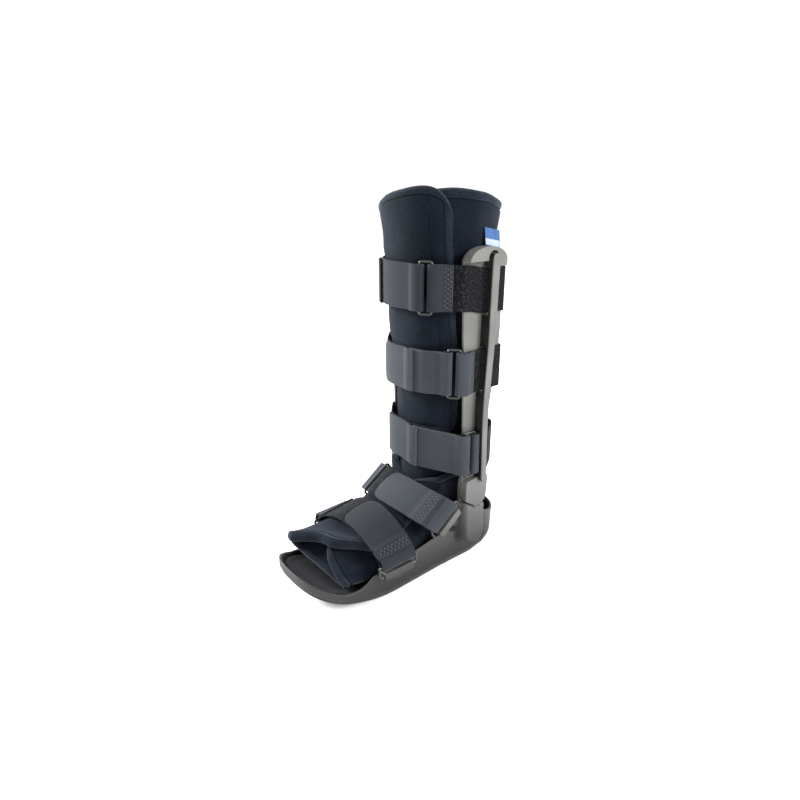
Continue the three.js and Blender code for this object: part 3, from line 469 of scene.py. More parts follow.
class Signal:
    """A shader socket that takes part in Python expressions."""

    def __init__(self, shader: "Shader", socket: bpy.types.NodeSocket) -> None:
        """Wraps a socket of a shader's tree."""
        self.shader = shader
        self.socket = socket

    def _math(self, operation: str, *values: "Signal | float") -> "Signal":
        """One Math node."""
        inputs = dict(enumerate(values))
        return self.shader.node("ShaderNodeMath", {"operation": operation}, inputs)

    def __add__(self, other: "Signal | float") -> "Signal":
        """Sum."""
        return self._math("ADD", self, other)

    __radd__ = __add__

    def __sub__(self, other: "Signal | float") -> "Signal":
        """Difference."""
        return self._math("SUBTRACT", self, other)

    def __rsub__(self, other: float) -> "Signal":
        """Difference from a number."""
        return self._math("SUBTRACT", other, self)

    def __mul__(self, other: "Signal | float") -> "Signal":
        """Product."""
        return self._math("MULTIPLY", self, other)

    __rmul__ = __mul__

    def sine(self) -> "Signal":
        """Sine of the value in radians."""
        return self._math("SINE", self)

    def ramp(self, low: float, high: float, start: float = 0.0, end: float = 1.0) -> "Signal":
        """Smooth step between two values.

        Args:
            low: the value that gives start.
            high: the value that gives end.
            start: the result at low.
            end: the result at high.

        Returns:
            The stepped value.
        """
        settings = {"interpolation_type": "SMOOTHSTEP"}
        inputs = {"Value": self, "From Min": low, "From Max": high, "To Min": start, "To Max": end}
        return self.shader.node("ShaderNodeMapRange", settings, inputs)


Colour = tuple[float, float, float]


class Shader:
    """A material under construction."""

    def __init__(self, name: str) -> None:
        """Starts a material with a principled surface."""
        self.material = bpy.data.materials.new(name)
        self.material.use_nodes = True
        self.tree = self.material.node_tree
        self.surface = self.tree.nodes["Principled BSDF"]

    def node(
        self,
        kind: str,
        settings: dict[str, object] | None = None,
        inputs: dict[str | int, object] | None = None,
        output: str | int = 0,
    ) -> Signal:
        """Adds a node: its settings first, then its values and links.

        Args:
            kind: the node's type.
            settings: attributes of the node.
            inputs: socket names or numbers with values or signals.
            output: the socket that is wanted.

        Returns:
            The output as a signal.
        """
        node = self.tree.nodes.new(kind)
        for key, value in (settings or {}).items():
            setattr(node, key, value)
        for key, value in (inputs or {}).items():
            self.feed(node.inputs[key], value)
        return Signal(self, node.outputs[output])

    def feed(self, socket: bpy.types.NodeSocket, value: object) -> None:
        """Links a signal to a socket, or sets the socket's value."""
        if isinstance(value, Signal):
            self.tree.links.new(value.socket, socket)
        elif isinstance(value, tuple) and len(value) == 3 and socket.type == "RGBA":
            socket.default_value = (*value, 1.0)
        else:
            socket.default_value = value

    def set(self, **inputs: object) -> None:
        """Sets the surface's sockets; an underscore stands for a space."""
        for key, value in inputs.items():
            self.feed(self.surface.inputs[key.replace("_", " ")], value)

    def place(self) -> Signal:
        """The point in the object's own frame, in metres."""
        return self.node("ShaderNodeTexCoord", output="Object")

    def cloth(self) -> Signal:
        """The point on the cloth, in metres."""
        return self.node("ShaderNodeUVMap", {"uv_map": "cloth"})

    def axis(self, point: Signal, name: str) -> Signal:
        """One coordinate of a point."""
        return self.node("ShaderNodeSeparateXYZ", None, {0: point}, name)

    def noise(self, point: Signal, size: float, detail: float = 2.0, rough_share: float = 0.5) -> Signal:
        """Noise with features of a size in millimetres."""
        inputs = {"Vector": point, "Scale": 1 / (size * MM), "Detail": detail, "Roughness": rough_share}
        return self.node("ShaderNodeTexNoise", None, inputs, "Fac")

    def cells(self, point: Signal, size: float, feature: str = "F1") -> Signal:
        """Distance in a pattern of cells of a size in millimetres."""
        inputs = {"Vector": point, "Scale": 1 / (size * MM)}
        return self.node("ShaderNodeTexVoronoi", {"feature": feature}, inputs, "Distance")

    def mix(self, low: "Signal | Colour", high: "Signal | Colour", share: "Signal | float") -> Signal:
        """Mix of two colours."""
        return self.node("ShaderNodeMix", {"data_type": "RGBA"}, {0: share, 6: low, 7: high}, 2)

    def bump(self, height: Signal, depth: float, before: Signal | None = None) -> Signal:
        """Normal from a height, with a depth in millimetres.

        Args:
            height: the height, about 0 to 1.
            depth: what a height of 1 stands for.
            before: the normal to add to.

        Returns:
            The new normal.
        """
        inputs: dict[str | int, object] = {"Height": height, "Distance": depth * MM, "Strength": 1.0}
        if before is not None:
            inputs["Normal"] = before
        return self.node("ShaderNodeBump", None, inputs)


def shade(colour: Colour, factor: float) -> Colour:
    """A lighter or darker version of a colour."""
    return tuple(min(channel * factor, 1.0) for channel in colour)  # type: ignore[return-value]


@dataclass(frozen=True)
class Moulded:
    """Moulded plastic with a fine spark-eroded grain, soft handling marks and optional painted shade
    towards the bottom and the toe.
    """

    name: str
    colour: Colour
    roughness: float = 0.52
    grain: float = 0.05
    # strength of the painted shade towards the bottom and the toe; 0 for none
    shadow: float = 0.0
    shine: float = 0.32

    def make(self) -> bpy.types.Material:
        """Builds the material."""
        s = Shader(self.name)
        place = s.place()
        cloud = s.noise(place, 38, 3)
        fine = s.noise(place, 0.9, 2, 0.6)
        speck = s.cells(place, 1.3)
        base = s.mix(shade(self.colour, 0.86), shade(self.colour, 1.12), cloud.ramp(0.3, 0.7))
        worn_and_shaded = s.mix(base, shade(self.colour, 1.3), speck.ramp(0.1, 0.0, 0.0, 0.25))
        # painted shade: the colour darkens towards the bottom and, more strongly, towards the toe
        if self.shadow:
            height = s.axis(place, "Z")
            worn_and_shaded = s.mix(shade(self.colour, self.shadow), worn_and_shaded, height.ramp(0.008, 0.11))
            ahead = s.axis(place, "Y")
            worn_and_shaded = s.mix(shade(self.colour, self.shadow * 2), worn_and_shaded, ahead.ramp(-0.19, -0.05))
        s.set(Base_Color=worn_and_shaded, Metallic=0.0, Specular_IOR_Level=self.shine)
        s.set(Roughness=(cloud - 0.5) * 0.12 + fine * 0.06 + self.roughness)
        s.set(Normal=s.bump(fine + speck * 0.5, self.grain))
        return s.material


@dataclass(frozen=True)
class Pile:
    """Brushed loop cloth over foam: a short fuzzy nap with a soft sheen."""

    name: str
    colour: Colour
    light: Colour
    nap: float = 0.45
    depth: float = 0.35
    sheen: float = 0.1

    def make(self) -> bpy.types.Material:
        """Builds the material."""
        s = Shader(self.name)
        place = s.place()
        fuzz = s.noise(place, self.nap, 3, 0.65)
        tufts = s.noise(place, self.nap * 4.5, 3, 0.6)
        cloud = s.noise(place, 24, 3)
        base = s.mix(self.colour, shade(self.colour, 1.55), cloud.ramp(0.34, 0.7))
        flecked = s.mix(base, self.light, (fuzz * 0.6 + tufts * 0.4).ramp(0.47, 0.72, 0.0, 0.55))
        s.set(Base_Color=flecked, Roughness=0.92, Specular_IOR_Level=0.08)
        s.set(Sheen_Weight=self.sheen, Sheen_Roughness=0.45, Sheen_Tint=(0.62, 0.70, 0.82, 1.0))
        s.set(Normal=s.bump(fuzz, self.depth, s.bump(tufts, self.depth * 1.6)))
        return s.material


@dataclass(frozen=True)
class Webbing:
    """Brushed strap cloth: fine ribs across the strap under a short nap."""

    name: str
    colour: Colour
    rib: float = 1.15
    depth: float = 0.12
    sheen: float = 0.14

    def make(self) -> bpy.types.Material:
        """Builds the material."""
        s = Shader(self.name)
        cloth = s.cloth()
        place = s.place()
        run = s.axis(cloth, "X")
        across = s.axis(cloth, "Y")
        fuzz = s.noise(place, 0.5, 3, 0.65)
        cloud = s.noise(place, 60, 2)
        grain = s.noise(place, 1.4, 2)
        wave = (run * (2 * math.pi / (self.rib * MM)) + fuzz * 1.6).sine()
        weft = (across * (2 * math.pi / (self.rib * 0.8 * MM)) + fuzz * 1.2).sine()
        weave = wave * 0.28 + weft * 0.22 + 0.5
        base = s.mix(shade(self.colour, 0.9), shade(self.colour, 1.1), cloud.ramp(0.32, 0.68))
        mottled = s.mix(base, shade(self.colour, 0.7), grain.ramp(0.5, 0.75, 0.0, 0.5))
        napped = s.mix(mottled, shade(self.colour, 1.9), fuzz.ramp(0.5, 0.78, 0.0, 0.4))
        lined = s.mix(shade(self.colour, 0.62), napped, weave.ramp(0.1, 0.5, 0.55, 1.0))
        s.set(Base_Color=lined, Roughness=0.84, Specular_IOR_Level=0.16)
        s.set(Sheen_Weight=self.sheen, Sheen_Roughness=0.4, Sheen_Tint=(0.75, 0.8, 0.88, 1.0))
        s.set(Normal=s.bump(weave, self.depth, s.bump(fuzz, self.depth * 1.5)))
        return s.material


@dataclass(frozen=True)
class HookLoop:
    """Sewn-on loop pile with clearly seen tufts."""

    name: str
    colour: Colour
    light: Colour
    tuft: float = 1.15
    depth: float = 0.7

    def make(self) -> bpy.types.Material:
        """Builds the material."""
        s = Shader(self.name)
        place = s.place()
        loops = s.cells(place, self.tuft, "SMOOTH_F1")
        coarse = s.noise(place, self.tuft * 1.5, 3, 0.7)
        fine = s.noise(place, 0.35, 2)
        body = (coarse * 0.75 + loops * 0.35 + fine * 0.2).ramp(0.62, 0.84)
        s.set(Base_Color=s.mix(self.colour, self.light, body), Roughness=0.9, Specular_IOR_Level=0.1)
        s.set(Sheen_Weight=0.05, Sheen_Roughness=0.5, Sheen_Tint=(0.8, 0.84, 0.9, 1.0))
        s.set(Normal=s.bump(coarse + fine * 0.4, self.depth))
        return s.material


@dataclass(frozen=True)
class Plain:
    """A finish with little texture: wire, thread, rubber, foam or woven tab."""

    name: str
    colour: Colour
    roughness: float
    grain: float = 0.02
    size: float = 1.0
    specular: float = 0.5
    coat: float = 0.0

    def make(self) -> bpy.types.Material:
        """Builds the material."""
        s = Shader(self.name)
        place = s.place()
        fine = s.noise(place, self.size, 3, 0.6)
        cloud = s.noise(place, self.size * 22, 2)
        tone = s.mix(shade(self.colour, 0.85), shade(self.colour, 1.15), cloud.ramp(0.3, 0.7))
        s.set(Base_Color=tone, Specular_IOR_Level=self.specular, Coat_Weight=self.coat, Coat_Roughness=0.2)
        s.set(Roughness=fine * 0.15 + (self.roughness - 0.07), Normal=s.bump(fine, self.grain))
        return s.material


@dataclass(frozen=True)
class Paint:
    """One even matte colour for the ground that the boot stands on."""

    name: str
    colour: Colour

    def make(self) -> bpy.types.Material:
        """Builds the material."""
        s = Shader(self.name)
        s.set(Base_Color=self.colour, Roughness=0.9, Specular_IOR_Level=0.1)
        return s.material


class Finish(Enum):
    """The finishes of the boot."""

    # the shell's 0.06 is the strength of its painted shade towards the bottom and the toe
    SHELL = Moulded("shell_plastic", (0.088, 0.088, 0.0865), 0.5, 0.05, 0.06)
    STRUT = Moulded("strut_plastic", (0.096, 0.096, 0.0905), 0.42, 0.03)
    # near-black painted shade, for the bottoms of the eyes, the rail's front faces and the pocket of the
    # head
    PAINTED_SHADE = Moulded("painted_shade_plastic", (0.014, 0.014, 0.015), 0.7, shine=0.1)
    RUBBER = Plain("sole_rubber", (0.012, 0.012, 0.013), 0.82, 0.08, 1.2)
    INSOLE = Plain("insole_foam", (0.0125, 0.0128, 0.0155), 0.85, 0.1, 0.7, 0.15)
    WRAP = Pile("wrap_pile", (0.0017, 0.0030, 0.0058), (0.0150, 0.0222, 0.0355))
    BINDING = Pile("wrap_binding", (0.0032, 0.0050, 0.0086), (0.0245, 0.0325, 0.0465), 0.5, 0.2, 0.2)
    # painted shade: a near-black pile for the groove of the sunk seam
    SEAM = Pile("painted_seam_shade", (0.0015, 0.0020, 0.003), (0.006, 0.008, 0.012), 0.4, 0.1, 0.05)
    STRIP = Pile("sewn_strip", (0.0018, 0.0030, 0.0055), (0.0115, 0.0170, 0.0265), 0.35, 0.12, 0.03)
    STRAP = Webbing("strap_webbing", (0.0285, 0.0322, 0.0390))
    DARK_STRAP = Webbing("dark_webbing", (0.0125, 0.0145, 0.0185))
    TAB = Webbing("tab_webbing", (0.029, 0.0328, 0.0395), 1.0, 0.1)
    LOOP = HookLoop("strap_loop", (0.0004, 0.0005, 0.0007), (0.0235, 0.0245, 0.0280), 1.5)
    WIRE = Plain("ring_wire", (0.007, 0.007, 0.008), 0.32, 0.01, 2.0, 0.5, 0.25)
    PALE_THREAD = Plain("pale_thread", (0.044, 0.047, 0.054), 0.6, 0.02, 0.3, 0.4)
    TAG_BLUE = Plain("tag_blue", (0.024, 0.068, 0.180), 0.7, 0.06, 0.4, 0.3)
    TAG_WHITE = Plain("tag_white", (0.23, 0.28, 0.38), 0.7, 0.06, 0.4, 0.3)
    FLOOR = Paint("floor", (0.90, 0.90, 0.90))

    def material(self) -> bpy.types.Material:
        """The material, made once."""
        return bpy.data.materials.get(self.value.name) or self.value.make()


def dress(thing: bpy.types.Object, *finishes: Finish) -> bpy.types.Object:
    """Gives an object its materials, in slot order."""
    for finish in finishes:
        thing.data.materials.append(finish.material())
    return thing


def declare(
    thing: bpy.types.Object,
    nodes: Sequence[str] = (),
) -> bpy.types.Object:
    """Puts a piece on the boot's body and says what it stands for.

    Args:
        thing: the piece.
        nodes: the solids that it replaces.

    Returns:
        The piece.
    """
    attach(thing, BODY)
    if nodes:
        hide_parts(*nodes)
    LOG.info("%s: %d faces, for %s", thing.name, len(thing.data.polygons), list(nodes) or "no solid")
    return thing


# Forms


@dataclass(frozen=True)
class FootForm:
    """The footprint, the rocker and the room inside the shell."""

    length: float = 288.0
    spring: float = 30.0
    lift: float = 12.0
    front: float = -40.0
    back: float = 75.0
    rocker: float = 1.8
    outsole: float = 3.0
    floor: float = 3.0
    gap: float = 0.3
    wall: float = 3.2
    insole: float = 5.0
    toe_round: float = 52.0
    heel_round: float = 46.0
    toe_power: float = 2.7
    heel_power: float = 2.25
    flare: float = 70.0
    base: Table = table(
        (-92, 55.5), (-70, 55.5), (-55, 55), (-35, 54), (-12, 52.5), (8, 51), (27, 49.8),
        (45, 49), (62, 48.5), (84, 48), (94, 47.2), (98, 46.5),
    )
    rim: Table = table(
        (-92, 58), (-80, 58.5), (-55, 59), (76, 59), (84, 58.4), (87, 57.6), (90, 56.6),
        (94, 54.5), (98, 52.5),
    )
    top: Table = table(
        (-144, 45), (-136, 41.5), (-124, 35), (-110, 29), (-92, 27), (-80, 30), (-70, 36),
        (-55, 38.5), (-35, 41.5), (-12, 45), (8, 49), (22, 54.5), (27, 58), (36, 68),
        (45, 79), (50, 86), (50.6, 108), (52.5, 119), (56, 124.5), (62, 127), (76, 127),
        (82, 123), (86, 108), (90, 80), (94, 66), (98, 58), (112, 51), (125, 48), (144, 47),
    )

    @property
    def half(self) -> float:
        """Half the length."""
        return self.length / 2

    def sole(self, y: float) -> float:
        """Height of the rocker sole's underside."""
        if y < self.front:
            return self.spring * max((self.front - y) / (self.front + self.half), 0) ** self.rocker
        if y > self.back:
            return self.lift * ((y - self.back) / (self.half - self.back)) ** self.rocker
        return 0.0

    def shell_base(self, y: float) -> float:
        """Height of the shell's underside."""
        return self.sole(y) + self.outsole + self.gap

    def inside(self, y: float) -> float:
        """Height of the shell's floor."""
        return self.shell_base(y) + self.floor

    def insole_top(self, y: float) -> float:
        """Height of the insole's upper face."""
        return self.inside(y) + self.gap + self.insole

    def stations(self, step: float = 2.0) -> list[Pair]:
        """Places round the near side as pairs of y and share of the half width."""
        out = []
        for angle in np.linspace(0, math.pi / 2, 34)[:-1]:
            x, y = round_power(angle, 1, self.toe_round, self.toe_power)
            out.append((-self.half + self.toe_round - y, x))
        fine = [49.2, 49.8, 50.1, 50.3, 50.5, 50.7, 51.0, 51.5]  # at the step up to the heel cup
        side = np.arange(-self.half + self.toe_round, self.half - self.heel_round, step)
        places = sorted([y for y in side if not 48.6 < y < 52] + fine)
        out += [(float(y), 1.0) for y in places]
        for angle in np.linspace(math.pi / 2, 0, 30):
            x, y = round_power(angle, 1, self.heel_round, self.heel_power)
            out.append((self.half - self.heel_round + y, x))
        return out

    def ring(
        self,
        inset: float,
        height: Callable[[float], float],
        stations: Sequence[Pair],
        relief: Callable[[float, float, float], float] | None = None,
    ) -> np.ndarray:
        """One ring of the footprint, moved inwards, at a height for each station.

        Args:
            inset: the move inwards.
            height: the height at a place y.
            stations: the places round the near side.
            relief: what is added to X at (x, y, z) on the sides.

        Returns:
            The ring's points, near side first.
        """
        near = []
        front, rear = stations[0][0] + inset, stations[-1][0] - inset
        for station, share in stations:
            end = math.sqrt(1 - share * share) * inset * math.copysign(1, station) if share < 1 else 0.0
            y = min(max(station - end, front), rear)
            z = height(y)
            lean = min(max((z - self.sole(y)) / self.flare, 0), 1)
            half = blend(self.base(y), self.rim(y), lean)
            x = max(share * half - inset * max(share, 0.25), 0.35 * share * half)
            if relief is not None and share > 0.97:
                x += relief(x, y, z)
            near.append((x, y, z))
        near[0] = (0.0, *near[0][1:])
        near[-1] = (0.0, *near[-1][1:])
        far = [(-x, y, z) for x, y, z in near[-2:0:-1]]
        return np.array(near + far)


FOOT = FootForm()


def bowl(name: str, rings: Sequence[np.ndarray]) -> bpy.types.Object:
    """A closed body from rings, with rungs across its first and last ring."""
    count = len(rings[0])
    faces = grid_faces(len(rings), count, 0, True)
    half = count // 2
    last = (len(rings) - 1) * count
    for i in range(half):
        loop = list(dict.fromkeys([i, i + 1, count - i - 1, (count - i) % count]))
        if len(loop) > 2:
            faces.append(loop[::-1])
            faces.append([last + k for k in loop])
    return faced_out(make_object(name, np.concatenate(rings), faces))


@dataclass
class Sole:
    """The rubber outsole with tread grooves, and the foam insole."""

    grooves: int = 22
    groove_depth: float = 1.1

    def outsole(self) -> bpy.types.Object:
        """Builds the outsole."""
        stations = FOOT.stations(3.0)
        tread = lambda y: FOOT.sole(y) + self.groove_depth * self.tread(y)
        rings = [
            FOOT.ring(16, tread, stations),
            FOOT.ring(7, tread, stations),
            FOOT.ring(4.5, lambda y: FOOT.sole(y) + 0.1, stations),
            FOOT.ring(3, lambda y: FOOT.sole(y) + 0.7, stations),
            FOOT.ring(2.2, lambda y: FOOT.sole(y) + 1.6, stations),
            FOOT.ring(2, lambda y: FOOT.sole(y) + FOOT.outsole, stations),
        ]
        thing = dress(bowl("outsole_tread", rings), Finish.RUBBER)
        return declare(thing, ["outsole"])

    def tread(self, y: float) -> float:
        """Depth share of the cross grooves at a place."""
        if abs(y) > FOOT.half - 16:
            return 0.0
        wave = math.cos(2 * math.pi * (y + FOOT.half) * self.grooves / FOOT.length)
        return smooth(wave, 0.45, 0.8)

    def insole(self) -> bpy.types.Object:
        """Builds the insole with its raised border and a shallow bed."""
        stations = FOOT.stations(3.0)
        inset = FOOT.wall + 3.6
        top = FOOT.insole_top
        rings = [
            FOOT.ring(inset, lambda y: FOOT.inside(y) + FOOT.gap, stations),
            FOOT.ring(inset, lambda y: top(y) - 1.4, stations),
            FOOT.ring(inset + 0.5, lambda y: top(y) - 0.4, stations),
            FOOT.ring(inset + 1.6, top, stations),
            FOOT.ring(inset + 4.5, top, stations),
            FOOT.ring(inset + 6, lambda y: top(y) - 0.7, stations),
            FOOT.ring(inset + 12, lambda y: top(y) - 0.9, stations),
        ]
        thing = dress(bowl("insole_bed", rings), Finish.INSOLE)
        return declare(thing, ["insole"])


@dataclass
class Shell:
    """The moulded bowl with strut sockets, ring lugs and slots."""

    socket_out: float = 70.0
    socket_front: float = 50.4
    socket_rear: float = 84.5
    socket_low: float = 27.0
    fillet: float = 4.0
    lug_out: float = 69.0
    rail_front: float = 54.0
    eye_out: float = 58.7
    eye_corners: tuple[Pair, ...] = ((37.5, 52.5), (48.5, 49), (48.5, 54.3), (41, 57.3))

    def socket(self, y: float, z: float) -> float:
        """Height share of the socket, rounded at its lower end."""
        middle = (self.socket_front + self.socket_rear) / 2
        radius = (self.socket_rear - self.socket_front) / 2
        low = self.socket_low + radius
        out = math.hypot(y - middle, z - low) if z < low else abs(y - middle)
        return 1 - smooth(out, radius - self.fillet, radius + 0.6)

    def relief(self, x: float, y: float, z: float) -> float:
        """What stands proud of the side wall at a place."""
        out = max(self.socket_out - x, 0) * self.socket(y, z)
        ridge = 1.2 * bump(z - FOOT.shell_base(y) - 8, 3.4)
        return out + ridge * (1 - self.socket(y, z))

    def seam(self, y: float) -> float:
        """Height at which the socket meets the strut's block."""
        return float(np.interp(y, [50.4, 69, 81, 84.5], [90.4, 78.4, 82.6, 89.5]))

    def body(self) -> bpy.types.Object:
        """Builds the bowl."""
        stations = FOOT.stations(1.6)
        base, top, wall = FOOT.shell_base, FOOT.top, FOOT.wall
        rings = [
            FOOT.ring(9, base, stations),
            FOOT.ring(3.2, base, stations),
            FOOT.ring(1.6, lambda y: base(y) + 0.5, stations),
            FOOT.ring(0.5, lambda y: base(y) + 1.8, stations, self.relief),
        ]
        for share in np.linspace(0.05, 0.985, 44):
            level = lambda y, s=share: blend(base(y) + 2.2, top(y) - 1.4, s)
            rings.append(FOOT.ring(0, level, stations, self.outer_relief))
        for inset, drop in ((0.15, 0.8), (0.6, 0.25), (1.2, 0.02), (1.9, 0.05), (2.7, 0.4), (3.2, 1.2)):
            relief = self.outer_relief if inset < 1 else None
            rings.append(FOOT.ring(inset, lambda y, d=drop: top(y) - d, stations, relief))
        for share in (0.75, 0.5, 0.25, 0.1):
            level = lambda y, s=share: blend(FOOT.inside(y) + 2, top(y) - 1, s)
            rings.append(FOOT.ring(wall, level, stations))
        rings += [
            FOOT.ring(wall + 0.5, lambda y: FOOT.inside(y) + 0.7, stations),
            FOOT.ring(wall + 2, FOOT.inside, stations),
        ]
        return bowl("shell_bowl", rings)

    def outer_relief(self, x: float, y: float, z: float) -> float:
        """Relief of the outer wall, which ends at the seam of the block."""
        over = smooth(z, self.seam(y) - 1.2, self.seam(y) + 0.2) if 46 < y < 90 else 0.0
        return self.relief(x, y, z) * (1 - over)

    def lug(self, strap: "FootStrapSpec", side: int) -> bpy.types.Object:
        """A ring lug: a rounded bar with a rib below it."""
        turn = math.radians(strap.ring_slope)
        half = strap.width / 2 - 2.5
        parts = []
        bars = strap.bars
        for low, high, span, inner, outer in (
            (-bars - 4.3, -bars + 4.3, half, self.rail_front, self.lug_out),
            (-bars - 11, -bars - 3, half * 0.5, self.rail_front, self.lug_out - 5),
        ):
            corners = [(-span, low, 2.2), (span, low, 2.2), (span, high, 2.2), (-span, high, 2.2)]
            outline = []
            for y, z in corner_rounded(corners, 5):
                outline.append((
                    strap.y + y * math.cos(turn) - z * math.sin(turn),
                    strap.z + y * math.sin(turn) + z * math.cos(turn),
                ))
            parts.append(prism(f"lug_{strap.name}", outline, inner, outer, 1.6, side))
        return join("lug", parts)

    def build(self, straps: Sequence["FootStrapSpec"]) -> bpy.types.Object:
        """Builds the whole shell."""
        parts = [self.body()]
        for strap in straps:
            parts += [self.lug(strap, 1), self.lug(strap, -1)]
        parts = [dress(part, Finish.SHELL) for part in parts]
        # painted shade: the eyes' bottoms are near-black sheets
        parts += [dress(self.eye(side), Finish.PAINTED_SHADE) for side in (1, -1)]
        return declare(join("shell_moulding", parts), ["shell"])

    def eye(self, side: int) -> bpy.types.Object:
        """A dark sheet of painted shade at the bottom of the small eye in the side wall."""
        corners = corner_rounded([(y, z, 1.8) for y, z in self.eye_corners], 5)
        return prism("eye", corners, self.rail_front, self.eye_out, 0.3, side)


# Struts


@dataclass
class Struts:
    """The two side struts: plate, lower block, head with its pocket, and rail."""

    plate_in: float = 59.3
    plate_out: float = 62.5
    block_out: float = 70.0
    head_out: float = 72.0
    rail_out: float = 76.0
    rail_width: Table = table(
        (112, 7.8), (182, 8.3), (290, 10.0), (340, 10.6), (372, 10.6),
    )
    top: float = 379.0
    head_low: float = 364.5
    leg_low: float = 358.0
    arch_base: float = 361.0
    arch_line: float = 362.0
    rail_top: float = 372.0
    front: Table = table(
        (91, 50.8), (114, 50.8), (182, 50), (220, 48.5), (290, 45.5), (340, 43.5), (362, 42),
    )
    rear: Table = table(
        (91, 84), (114, 86.5), (182, 88.5), (220, 93.5), (290, 102), (340, 101.5), (362, 98),
    )
    rail_front: Table = table(
        (100, 69), (112, 69), (182, 67), (220, 67.8), (290, 71), (340, 71.5), (372, 72.5),
    )

    def arch(self, low: float) -> list[Pair]:
        """The head's arch above a low height."""
        front, rear = self.front(self.arch_line), self.rear(self.arch_line)
        curve = []
        for angle in np.linspace(-90, 90, 41):
            turn = math.radians(angle)
            y, z = round_power(turn, (rear - front) / 2, self.top - self.arch_base, 2.25)
            curve.append(((front + rear) / 2 + y, self.arch_base + z))
        kept = [(y, z) for y, z in curve if z > low + 0.4]
        return [(kept[0][0], low), *kept, (kept[-1][0], min(low, self.leg_low))]

    def plate(self, side: int) -> bpy.types.Object:
        """The long flat plate."""
        heights = [91, 100, 114, 130, 150, 182, 200, 220, 245, 270, 290, 315, 340, 355]
        front = [(self.front(z), float(z)) for z in heights]
        rear = [(self.rear(z), float(z)) for z in heights][::-1]
        outline = [(69.0, 79.0)] + front + self.arch(360.4)[1:-1] + rear
        return prism("plate", outline, self.plate_in, self.plate_out, 0.9, side)

    def block(self, side: int) -> bpy.types.Object:
        """The lower block that sits in the shell's socket."""
        corners = [
            (50.8, 91.2, 0.6), (69, 79.2, 3), (81, 84, 3), (84, 91, 1), (85.5, 112, 3),
            (84, 119, 4), (51.2, 116, 3),
        ]
        return prism("block", corner_rounded(corners), self.plate_in, self.block_out, 0.6, side)

    def pocket(self) -> list[Pair]:
        """Outline of the arched pocket round the rail's top."""
        rail, width = self.rail_front(self.rail_top), self.rail_width(self.rail_top)
        outline = [(rail - 3.2, self.head_low)]
        for angle in np.linspace(-90, 90, 21):
            y, z = round_power(math.radians(angle), width / 2 + 2.3, 9.6, 2.2)
            outline.append((rail + width / 2 + y - 0.9, self.head_low + 0.6 + z))
        return outline + [(rail + width + 1.4, self.leg_low)]

    def head(self, side: int) -> bpy.types.Object:
        """The proud arch round the rail's top pocket."""
        outline = self.arch(self.head_low) + self.pocket()[::-1]
        return prism("head", outline, self.plate_in, self.head_out, 2.0, side)

    def pocket_shade(self, side: int) -> bpy.types.Object:
        """A dark sheet of painted shade at the bottom of the pocket."""
        return prism("pocket_shade", self.pocket(), self.plate_in, self.plate_out + 0.6, 0, side)

    def rail(self, side: int) -> bpy.types.Object:
        """The rail that stands proud and holds the straps in place."""
        heights = [118, 130, 150, 182, 200, 220, 245, 270, 290, 315, 340, 366]
        front = [(self.rail_front(z), float(z)) for z in heights]
        rear = [(y + self.rail_width(z), z) for y, z in front][::-1]
        low, wide = self.rail_front(112), self.rail_width(112)
        round_foot = ((1, 116.0), (0.8, 113.4), (0.5, 112.6), (0.2, 113.4), (0, 116.0))
        foot = [(low + share * wide, z) for share, z in round_foot]
        round_top = ((0.4, 369.5), (2.6, 371.6), (5.3, 372.4), (8, 371.6), (10.2, 369.5))
        crown = [(self.rail_front(self.rail_top) + run, z) for run, z in round_top]
        return prism("rail", front + crown + rear + foot, self.plate_out - 0.5, self.rail_out, 3.2, side)

    def cut_straps(self, rail: bpy.types.Object, straps: Sequence["LegStrapSpec"], side: int) -> None:
        """Cuts the passages that the straps run through."""
        for strap in straps:
            half = strap.height / 2 + 2
            rise = strap.rise(side * 100)
            low, high = strap.z + rise - half, strap.z + rise + half
            outline = [(50, low), (100, low), (100, high), (50, high)]
            cutter = prism("cutter", outline, self.plate_out - 3, self.plate_out + 9, 0, side)
            cut = rail.modifiers.new("passage", "BOOLEAN")
            cut.object = cutter
            cut.operation = "DIFFERENCE"
            cut.solver = "EXACT"
            bpy.context.view_layer.update()
            apply_modifiers(rail)
            bpy.data.objects.remove(cutter)

    def build(self, straps: Sequence["LegStrapSpec"]) -> None:
        """Builds both struts."""
        for side, word in SIDES:
            rail = self.rail(side)
            self.cut_straps(rail, straps, side)
            dress(rail, Finish.STRUT, Finish.PAINTED_SHADE)
            # painted shade: the rail's front faces beside its front edge get the near-black finish
            for face in rail.data.polygons:
                centre = face.center / MM
                front = abs(centre.y - self.rail_front(centre.z)) < 2.6 and face.normal.y < -0.5
                if front and abs(centre.x) < self.rail_out - 2.2:
                    face.material_index = 1
            parts = [dress(self.plate(side), Finish.STRUT), dress(self.head(side), Finish.STRUT), rail]
            # the pocket gets a near-black sheet of painted shade
            parts += [dress(self.block(side), Finish.SHELL), dress(self.pocket_shade(side), Finish.PAINTED_SHADE)]
            declare(join(f"strut_{word}_moulding", parts), [f"strut_{word}"])


# Wraps


def bind_edge(wrap: bpy.types.Object, depth: np.ndarray, width: float) -> None:
    """Gives a pad's bound edge its own cloth, with painted shade along the sunk seam beside it.

    Args:
        wrap: the pad, dressed with cloth, binding and seam shade.
        depth: grid of distances from the pad's edge, with lines on both sides of the seam.
        width: the seam's distance from the edge.
    """
    flat = np.concatenate([depth.ravel(), depth.ravel()])
    for face in wrap.data.polygons:
        middle = sum(flat[v] for v in face.vertices) / len(face.vertices)
        if middle < width + 0.4:
            # faces on the sunk seam get the painted seam shade; those nearer the edge get the binding
            face.material_index = 1 if middle < width - 0.4 else 2


